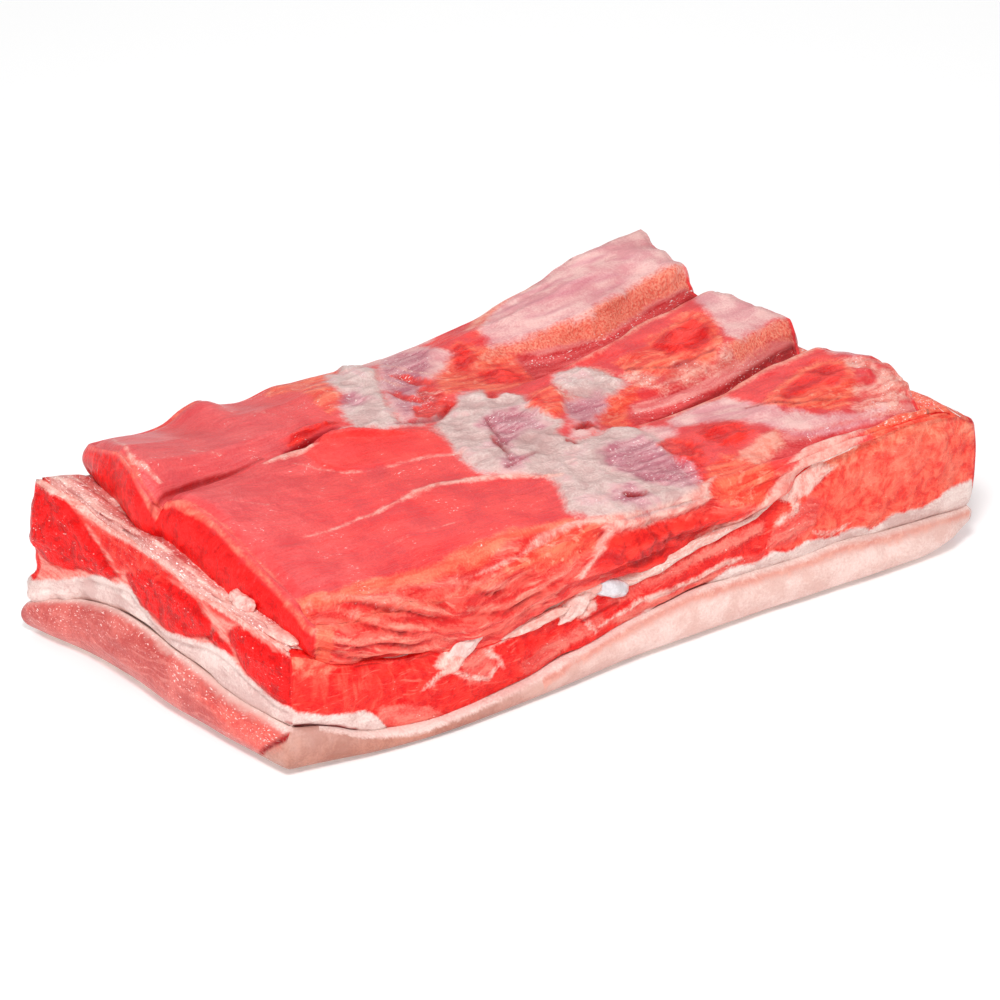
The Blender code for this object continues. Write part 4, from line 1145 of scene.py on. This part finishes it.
def leanMasks(u, v, ring, x, y, z):
    sides = sideOf(u, v, ring)
    lengthwise, endwise = sides["front"] | sides["back"], sides["left"] | sides["right"]
    foot, top = sideHeight(fatTop, x, y, u, v), leanTopAt(x, y, u, v)
    p, h = asSeen(x, y, z, foot, top, sides, fatTop, leanTop)
    fields = {}
    for name in ("bundle", "orange", "strip", "mottled", "pink", "white", "dark"):
        front = regionDepth(p, h, leanPaint["front"].get(name, {}))
        left = regionDepth(p, h, leanPaint["left"].get(name, {}))
        fields[name] = np.where(lengthwise, front, np.where(endwise, left, off))
    fromEnd, fromSide = fromBorders(u, v)
    fields["web"] = np.where(endwise, np.minimum(3.0, fromSide - 2), -5.0)
    under = np.where(lengthwise, leanBottom["front"](p), leanBottom["left"](p)) - h
    gap = 3 * smooth(p, -84, -74) * (1 - smooth(p, 40, 48))  # no white layer in the middle of the front
    fields["layer"] = np.where(ring > 0, under, off) - np.where(lengthwise, gap, 0)
    fields["streaks"] = np.where(lengthwise, 2.0, -3.0)
    fields["upright"] = np.where(lengthwise, 6 - 10 * smooth(p, -90, -50), -5.0)
    fields["mottled"] = np.where(endwise & (ring > 0), off, fields["mottled"])
    island = np.where(lengthwise, regionDepth(p, h, leanPaint["front"]["island"]), off)
    fields["white"] = np.minimum(fields["white"], -island)
    fields["orange"] = np.maximum(fields["orange"], island + 0.8)
    leftRim = (ring == 0) & (u < 0.5) & (fromSide > fromEnd) & (fromEnd < 8)
    topEdge = np.where(sides["left"], 1.0 - (top - z), off)
    fields["white"] = np.where(leftRim, 2.0, np.maximum(fields["white"], topEdge))
    # painted glints: on the ends' strip and bundles and along the white layer's edge there, on the front's
    # pink, and sparse elsewhere
    glintEnd = np.maximum(fields["strip"], fields["bundle"] - 2)
    glintZone = np.where(endwise, glintEnd, np.maximum(fields["pink"], -1))
    glintEdge = np.where(endwise, 0.4 - np.abs(fields["layer"] - 1.2), off)
    fields["glint"] = np.maximum(glintZone - 0.5, glintEdge)
    return fields, endwise


def leanFields(grid):
    u, v, ring = grid.T
    x, y, z = leanShape(u, v, ring)
    fields, endwise = leanMasks(u, v, ring, x, y, z)
    q = np.stack([x, y, z], 1)
    grain = np.stack([np.where(endwise, y, x) + 0.15 * z, z, 0.3 * np.where(endwise, x, y)], 1)
    backLeft = smooth(y, 8, 26) * smooth(-x, 80, 100)
    common = 0.5 * noise(q, 11, 3, 2) + 1.3 * (noise(q, (9, 7, 6), 8, 2) + 0.5) * backLeft
    relief = 0.35 * noise(grain, (12, 2.2, 8), 4, 2)
    relief += np.where(endwise, 1.2 * dome(fields["bundle"], 3) - 0.3, 0)
    relief += 0.6 * dome(fields["white"], 0.8) - 0.9 * dome(fields["dark"], 0.6)
    relief += 0.4 * dome(fields["mottled"], 2) * (1 + noise(q, 6, 9, 2))
    underLayer = np.where(endwise, dome(1.0 - np.abs(fields["layer"] - 2.2), 1), 0)
    relief += 0.5 * dome(fields["layer"], 0.8) - 0.7 * underLayer
    fields["shade"] = np.clip(0.14 * relief, -0.25, 0.1)
    return fields, np.where(ring > 0, relief * atCorner(u, v) + common, 0)


def fatFields(grid):
    u, v, ring = grid.T
    x, y, z = fatShape(u, v, ring)
    sides = sideOf(u, v, ring)
    lengthwise, endwise = sides["front"] | sides["back"], sides["left"] | sides["right"]
    top = sideHeight(fatTop, x, y, u, v)
    below = top - z
    level = {"front": np.zeros_like, "left": np.zeros_like}
    p, h = asSeen(x, y, z, 0 * z, top, sides, level, fatTop)
    lobe = areaDepth(p, h, fatPaint["lobe"])
    flush = areaDepth(p, h, fatPaint["flush"])
    browned = 8 - 14 * smooth(p, -80, 30) - 0.6 * h
    thinned = 2.4 * smooth(x, 92, 110) * (fromBorders(u, v)[0] < 6)
    topEdge = np.where(endwise, 0.8 - below, off)
    topEdge = np.where(lengthwise & (p > -95), 0.9 - np.abs(below - 0.1), topEdge)
    fields = {
        "tan": np.where(lengthwise, browned, off) + np.where(endwise & (lobe > -1), 13, 0),
        "salmon": np.where(endwise, np.minimum(below - 0.8, -lobe), off),
        "flush": np.where(endwise & (p < -30), flush, off),
        "pinkLine": np.where(lengthwise & (p > -30), 1.1 - np.abs(below - 1.7), off),
        "pale": topEdge,
        "rind": np.where(ring > 0, 0.9 - z, 0.9) - 3 * smooth(x, 84, 106),
        "skin": np.where(ring > 0, -z - 0.2, 2.0) - thinned,
        "dark": np.where(endwise, strokeDepth(p, h, fatPaint["crack"]), off),
    }
    # painted glints in two rows along the salmon fat of the ends
    rows = 2.4 - np.abs(below - 3.2) + np.where(p > 36, -2, 0)
    rows = np.maximum(rows, 1.0 - np.abs(below - 8.5 + 0.05 * p))
    fields["glint"] = np.where(endwise, np.minimum(rows, -lobe), off)
    q = np.stack([x, y, z], 1)
    grain = np.stack([np.where(endwise, y, x), z, 0.3 * np.where(endwise, x, y)], 1)
    relief = 0.5 * noise(q, 22, 13, 2) + 0.3 * noise(grain, (26, 2.6, 9), 14, 2)
    relief -= 0.9 * dome(fields["dark"], 0.6)
    relief += np.where(lengthwise, 0.5 * dome(4 - np.abs(below - 6), 4) * smooth(p, -20, 20), 0)
    fields["shade"] = np.clip(0.08 * relief, -0.15, 0.08) - 0.12 * smooth(-z, -3, -0.5) * (ring > 0)
    return fields, np.where(ring > 0, relief * smooth(z, 0, 4), 0.0) * atCorner(u, v)


def seamFields(grid):
    u, v, ring = grid.T
    x, y, z = seamShape(u, v, ring)
    fromEnd, fromSide = fromBorders(u, v)
    inward = np.minimum(fromEnd, fromSide)
    endwise = (fromEnd < layers["seamEnd"]) & (fromSide > inward - 0.01)
    along = np.stack([y, 0 * y, 0 * y], 1)
    pinkBand = np.minimum(inward - 3.0 + 2 * noise(along, 12, 3), 12)
    secondLine = 0.5 - np.abs(inward - 7 - 2 * noise(along, 14, 5))
    paleLines = np.maximum(1.0 - np.abs(inward - 2.6), secondLine)
    bare = np.where(u > 0.5, inward - 1.0, smooth(y, 22, 34) * 7 - 5 - 0.5 * inward)
    nearOrange = (v < 0.5) & ((u > 0.5) | ~endwise)
    fields = {
        "pink": np.where(endwise, pinkBand, -4),
        "pale": np.where(endwise, paleLines, np.where((v < 0.5) & (x > -48), 1.5, -2)),
        # painted glints, denser on the ledges at the ends
        "glint": np.where(endwise, 1.0, 0.3),
        "raw": np.where(endwise, bare, -5),
        "orange": np.where(nearOrange, mix(-6.0, 6.0, smooth(x, 66, 84)), off),
    }
    q = np.stack([x, y, z], 1)
    grain = np.stack([np.where(endwise, y, x), np.where(endwise, inward, z), 0 * x], 1)
    relief = 0.6 * noise(q, 9, 23, 2) + 0.6 * noise(grain, (18, 2.4, 9), 24, 2)
    fields["shade"] = np.clip(0.15 * relief, -0.2, 0.1)
    return fields, np.where(ring <= layers["seamRings"], relief, 0)


def seamGrain(u, v, ring, place, sides):  # lengthwise along each edge
    x, y, z = place.T
    end = fromBorders(u, v)[0] < layers["seamEnd"]
    return np.stack([np.where(end, y, x), np.where(end, x, y) + z, 0 * x], 1)


def makeLayer(name, node, rings, shape, fieldsOf, grainOf, look, coats):  # the three are made alike
    skin = layerSkin(layers["cellsAlong"], layers["cellsAcross"], rings)
    piece, grid = shapedPiece(name, skin, shape, softening=1)
    paintPiece(piece, grid, *fieldsOf(grid), grainOf)
    piece.data.materials.append(layeredMaterial(name, look, coats))
    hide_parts(node)
    print(name + ":", len(piece.data.polygons), "faces")
    return piece


def makeLowerLayers():
    return [
        makeLayer("fatSeam", "fat_seam", layers["seamRings"],
                  seamShape, seamFields, seamGrain, seamLook, seamLayers),
        makeLayer("lowerLean", "lower_lean", layers["leanRings"],
                  leanShape, leanFields, sideGrain, leanLook, leanLayers),
        makeLayer("outerFat", "outer_fat_and_rind", layers["fatRings"],
                  fatShape, fatFields, sideGrain, fatLook, fatLayers),
    ]


# bits of fat and cartilage between the two leans
bits = [  # centre, half sizes, turn about y in degrees, how lumpy, colours, and how it shines
    {"name": "cartilageNub", "centre": (-7.4, -66.6, 24.2), "half": (6.0, 2.3, 2.8),
     "turn": 24, "lumpy": 0.16, "seed": 1, "roughness": 0.16,
     "dark": (206, 200, 204), "light": (226, 222, 226), "edge": (232, 180, 172)},
    {"name": "nubCollar", "centre": (-13.5, -66.6, 26.4), "half": (5.6, 2.0, 2.8),
     "turn": 24, "lumpy": 0.45, "seed": 2, "roughness": 0.35,
     "dark": (228, 158, 146), "light": (240, 196, 184), "edge": (236, 120, 106)},
    {"name": "fatChunk", "centre": (-17.6, -66.8, 22.6), "half": (6.0, 2.0, 2.9),
     "turn": -20, "lumpy": 0.42, "seed": 3, "roughness": 0.35,
     "dark": (226, 172, 162), "light": (240, 208, 198), "edge": (236, 130, 116)},
    {"name": "fatTail", "centre": (-31.0, -67.6, 21.8), "half": (10.5, 1.3, 1.3),
     "turn": -7, "lumpy": 0.5, "seed": 4, "roughness": 0.35,
     "dark": (226, 160, 148), "light": (240, 200, 188), "edge": (236, 120, 106)},
    {"name": "fatFlap", "centre": (-55.0, -68.3, 21.6), "half": (6.4, 1.5, 2.4),
     "turn": -24, "lumpy": 0.45, "seed": 5, "roughness": 0.3,
     "dark": (222, 176, 168), "light": (238, 206, 198), "edge": (236, 120, 106)},
    {"name": "ledgeTab", "centre": (-101.4, -42.5, 38.0), "half": (2.0, 4.2, 2.4),
     "turn": 20, "lumpy": 0.55, "seed": 6, "roughness": 0.25,
     "dark": (222, 150, 142), "light": (240, 198, 188), "edge": (230, 96, 88)},
    {"name": "lowerTab", "centre": (-99.6, -55.0, 35.4), "half": (2.6, 9.5, 1.3),
     "turn": 10, "lumpy": 0.18, "seed": 7, "roughness": 0.25,
     "dark": (226, 156, 146), "light": (240, 196, 184), "edge": (228, 150, 142)},
]


bitLook = {"texture": "lumps", "speckle": 0.12, "fibre": 0.1, "lumps": 0.5, "grit": 0.08,
           "shine": 0.45, "coat": 0.2}


def makeBit(bit):
    skin = bmesh.new()
    bmesh.ops.create_icosphere(skin, subdivisions=5, radius=1.0)
    around = np.array([vertex.co for vertex in skin.verts])
    swell = 1 + bit["lumpy"] * noise(around + 9.0 * bit["seed"], 0.9, bit["seed"], 3)
    x, y, z = (around * swell[:, None] * bit["half"]).T
    cos, sin = math.cos(math.radians(bit["turn"])), math.sin(math.radians(bit["turn"]))
    place = np.stack([x * cos + z * sin, y, z * cos - x * sin], 1) + bit["centre"]
    placeVertices(skin, place)
    piece = pieceFrom(bit["name"], skin)
    paint(piece, "edge", 0.25 - np.abs(around[:, 1]))
    paint(piece, "shade", -0.10 * np.clip(1 - swell, 0, 1))
    grain = piece.data.attributes.new("grain", "FLOAT_VECTOR", "POINT")
    grain.data.foreach_set("vector", place.astype(np.float32).ravel())
    look = {**bitLook, "dark": bit["dark"], "light": bit["light"], "roughness": bit["roughness"]}
    edge = coat("edge", bit["edge"], bit["light"], "lumps", soft=0.2, ragged=0.1, cover=0.8)
    piece.data.materials.append(layeredMaterial(bit["name"], look, [edge]))
    return piece


def linear(level):  # a channel from 0 to 255 as the shader wants it
    return ((level / 255 + 0.055) / 1.055) ** 2.4 if level > 10 else level / 255 / 12.92


def tint(red, green, blue):
    return linear(red), linear(green), linear(blue), 1.0


textures = {  # shared by all the materials: what each follows, its size in mm along and across, its detail
    "fibre": ("grain", (7, 1.0), 4.0),
    "strands": ("grain", (22, 2.8), 4.0),
    "crumple": ("grain", (9, 3.0), 5.0),
    "upright": ("grain", (1.8, 9.0), 2.0),
    "flecks": ("grain", (0.9, 0.42), 1.0),
    "lumps": ("place", (2.6, 2.6), 4.0),
    "clouds": ("place", (9, 9), 4.0),
    "grit": ("place", (0.62, 0.62), 2.0),
}


class Shading:  # a material's node tree, with short calls for the nodes used here; lengths in mm
    def __init__(self, name):
        self.material = bpy.data.materials.new(name)
        self.material.use_nodes = True
        self.tree = self.material.node_tree
        self.surface = self.tree.nodes["Principled BSDF"]
        place = self.vector("MULTIPLY", self.add("TexCoord", {}, "Object"), (1000, 1000, 1000))
        broad = self.vector("MULTIPLY", place, (0.07, 0.07, 0.07))
        wander = self.add("TexNoise", {"Vector": broad, "Scale": 1.0, "Detail": 1.0}, 1)
        wander = self.vector("SUBTRACT", wander, (0.5, 0.5, 0.5))
        self.rooms = {"place": self.vector("ADD", place, self.vector("MULTIPLY", wander, (7, 7, 7)))}
        grain = self.attribute("grain", "Vector")
        self.rooms["grain"] = self.vector("ADD", grain, self.vector("MULTIPLY", wander, (9, 9, 3)))
        self.made = {}

    def add(self, kind, inputs, output=0, **settings):
        node = self.tree.nodes.new("ShaderNode" + kind)
        for key, value in settings.items():
            setattr(node, key, value)
        for key, value in inputs.items():
            if isinstance(value, bpy.types.NodeSocket):
                self.tree.links.new(value, node.inputs[key])
            else:
                node.inputs[key].default_value = value
        return node.outputs[output]

    def attribute(self, name, output="Fac"):
        return self.add("Attribute", {}, output, attribute_name=name)

    def vector(self, operation, a, b):
        return self.add("VectorMath", {0: a, 1: b}, operation=operation)

    def math(self, operation, a, b):
        return self.add("Math", {0: a, 1: b}, operation=operation)

    def scaled(self, value, amount, plus=0.0):  # value * amount + plus
        return self.add("Math", {0: value, 1: amount, 2: plus}, operation="MULTIPLY_ADD")

    def step(self, value, low, high, top=1.0):
        edges = {"Value": value, "From Min": low, "From Max": high, "To Max": top}
        return self.add("MapRange", edges, interpolation_type="SMOOTHSTEP")

    def texture(self, kind):  # one of the shared textures, around 0
        if kind not in self.made:
            room, (along, across), detail = textures[kind]
            place = self.vector("MULTIPLY", self.rooms[room], (1 / along, 1 / across, 1 / across))
            inputs = {"Vector": place, "Scale": 1.0, "Detail": detail, "Roughness": 0.55}
            value = self.add("TexNoise", inputs)
            self.made[kind] = self.math("SUBTRACT", value, 0.5)
        return self.made[kind]

    def mix(self, share, a, b):
        return self.add("Mix", {0: share, 6: a, 7: b}, 2, data_type="RGBA")

    def mixNumber(self, share, a, b):
        return self.add("Mix", {0: share, 2: a, 3: b}, 0, data_type="FLOAT")

    def pattern(self, layer):  # the layer's dark and light colour, mixed by its texture and a little grit
        spread = layer.get("spread", 0.17)
        value = self.scaled(self.texture("grit"), 0.35, self.texture(layer["texture"]))
        return self.mix(self.step(value, -spread, spread), tint(*layer["dark"]), tint(*layer["light"]))


def layeredMaterial(name, look, coats):
    # look: the colours under everything and how wet it is; coats: painted masks, laid on in their order
    s = Shading(name)
    wobble = s.scaled(
        s.texture("clouds"), 4.0,
        s.scaled(s.texture("lumps"), 3.0, s.scaled(s.texture("grit"), 1.6)),
    )
    colour, rough = s.pattern(look), look["roughness"]
    plain = s.scaled(s.texture("grit"), look["grit"], s.scaled(s.texture("fibre"), look["fibre"]))
    height = s.scaled(s.texture("lumps"), look["lumps"], plain)
    streaky = s.scaled(s.texture("fibre"), look["speckle"] * 0.4, 1.0)
    value = plainValue = s.scaled(s.texture("grit"), look["speckle"], streaky)
    for layer in coats:
        depth = s.scaled(wobble, layer.get("ragged", 0.6), s.attribute(layer["name"]))
        soft = layer.get("soft", 0.4)
        share = s.step(depth, -soft, soft, layer.get("cover", 1.0))
        if "patchy" in layer:
            kind, low, high = layer["patchy"]
            share = s.math("MULTIPLY", share, s.step(s.texture(kind), low, high))
        colour = s.mix(share, colour, s.pattern(layer))
        if "depth" in layer:
            texture = s.texture(layer["texture"])
            height = s.mixNumber(share, height, s.scaled(texture, layer["depth"], plain))
            # painted shade: each coat's texture darkens the colour in its hollows and lightens it on its
            # tops
            value = s.mixNumber(share, value, s.scaled(texture, layer.get("cavity", 0.0), plainValue))
        if "roughness" in layer:
            rough = s.mixNumber(share, rough, layer["roughness"])
    # painted shade: the shade attribute darkens or lightens the value
    value = s.math("MULTIPLY", value, s.math("ADD", s.attribute("shade"), 1.0))
    redder = {0: value, 1: (0.55, 1, 1), 2: (0.45, 0, 0)}  # where the value darkens, as painted shade in creases, red is lost less than green and blue
    value = s.add("VectorMath", redder, operation="MULTIPLY_ADD")
    s.tree.links.new(s.vector("MULTIPLY", colour, value), s.surface.inputs["Base Color"])
    if isinstance(rough, bpy.types.NodeSocket):
        s.tree.links.new(rough, s.surface.inputs["Roughness"])
    else:
        s.surface.inputs["Roughness"].default_value = rough
    bump = s.add("Bump", {"Strength": 1.0, "Distance": mm, "Height": height})
    s.tree.links.new(bump, s.surface.inputs["Normal"])
    s.surface.inputs["Specular IOR Level"].default_value = look["shine"]
    s.surface.inputs["Coat Weight"].default_value = look["coat"]
    s.surface.inputs["Coat Roughness"].default_value = 0.12
    return s.material


stage = {  # in metres and watts
    "target": (0.003, -0.004, 0.020),
    "azimuth": -35.0,
    "elevation": 27.0,
    "distance": 1.2,
    "lens": 162.0,
    "sensor": 36.0,
    "lights": [
        {"name": "key light", "place": (-0.42, -0.55, 0.85), "size": 0.22, "power": 7.0},
        {"name": "fill light", "place": (-0.9, -0.5, 0.35), "size": 0.7, "power": 3.0},
        {"name": "rim light", "place": (0.5, 0.6, 0.8), "size": 0.5, "power": 1.5},
    ],
    "worldGlow": 0.5,
    "floor": {"half": 1.6, "drop": 0.0002, "colour": (0.9, 0.9, 0.9, 1), "roughness": 0.6, "glow": 0.2},
}


def aimed(thing, place):
    thing.location = place
    thing.rotation_euler = (Vector(place) - Vector(stage["target"])).to_track_quat("Z", "Y").to_euler()
    bpy.context.scene.collection.objects.link(thing)


def makeCamera():
    azimuth, elevation = math.radians(stage["azimuth"]), math.radians(stage["elevation"])
    level = math.cos(elevation)
    back = Vector((math.sin(azimuth) * level, -math.cos(azimuth) * level, math.sin(elevation)))
    camera = bpy.data.objects.new("camera", bpy.data.cameras.new("camera"))
    camera.data.lens = stage["lens"]
    camera.data.sensor_width = stage["sensor"]
    aimed(camera, Vector(stage["target"]) + back * stage["distance"])
    bpy.context.scene.camera = camera


def makeLights():
    for each in stage["lights"]:
        light = bpy.data.objects.new(each["name"], bpy.data.lights.new(each["name"], "AREA"))
        light.data.energy = each["power"]
        light.data.size = each["size"]
        aimed(light, each["place"])
    world = bpy.data.worlds.new("studio")
    bpy.context.scene.world = world
    world.use_nodes = True
    world.node_tree.nodes["Background"].inputs["Color"].default_value = (1, 1, 1, 1)
    world.node_tree.nodes["Background"].inputs["Strength"].default_value = stage["worldGlow"]


def makeFloor():
    look = stage["floor"]
    plate = bmesh.new()
    bmesh.ops.create_grid(plate, x_segments=1, y_segments=1, size=look["half"])
    bmesh.ops.translate(plate, verts=plate.verts, vec=(0, 0, -look["drop"]))
    floor = pieceFrom("floor", plate)
    material = bpy.data.materials.new("pale floor")
    material.use_nodes = True
    shader = material.node_tree.nodes["Principled BSDF"]
    shader.inputs["Base Color"].default_value = look["colour"]
    shader.inputs["Roughness"].default_value = look["roughness"]
    shader.inputs["Emission Color"].default_value = (1, 1, 1, 1)
    shader.inputs["Emission Strength"].default_value = look["glow"]
    floor.data.materials.append(material)


bpy.context.scene.view_settings.view_transform = "Standard"
makeCamera()
makeLights()
makeFloor()
print("stage: camera, lights and floor")
upper = makeUpperLean()
for piece in [upper] + makeLowerLayers() + [makeBit(bit) for bit in bits]:
    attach(piece, "root")
print("bits:", len(bits))
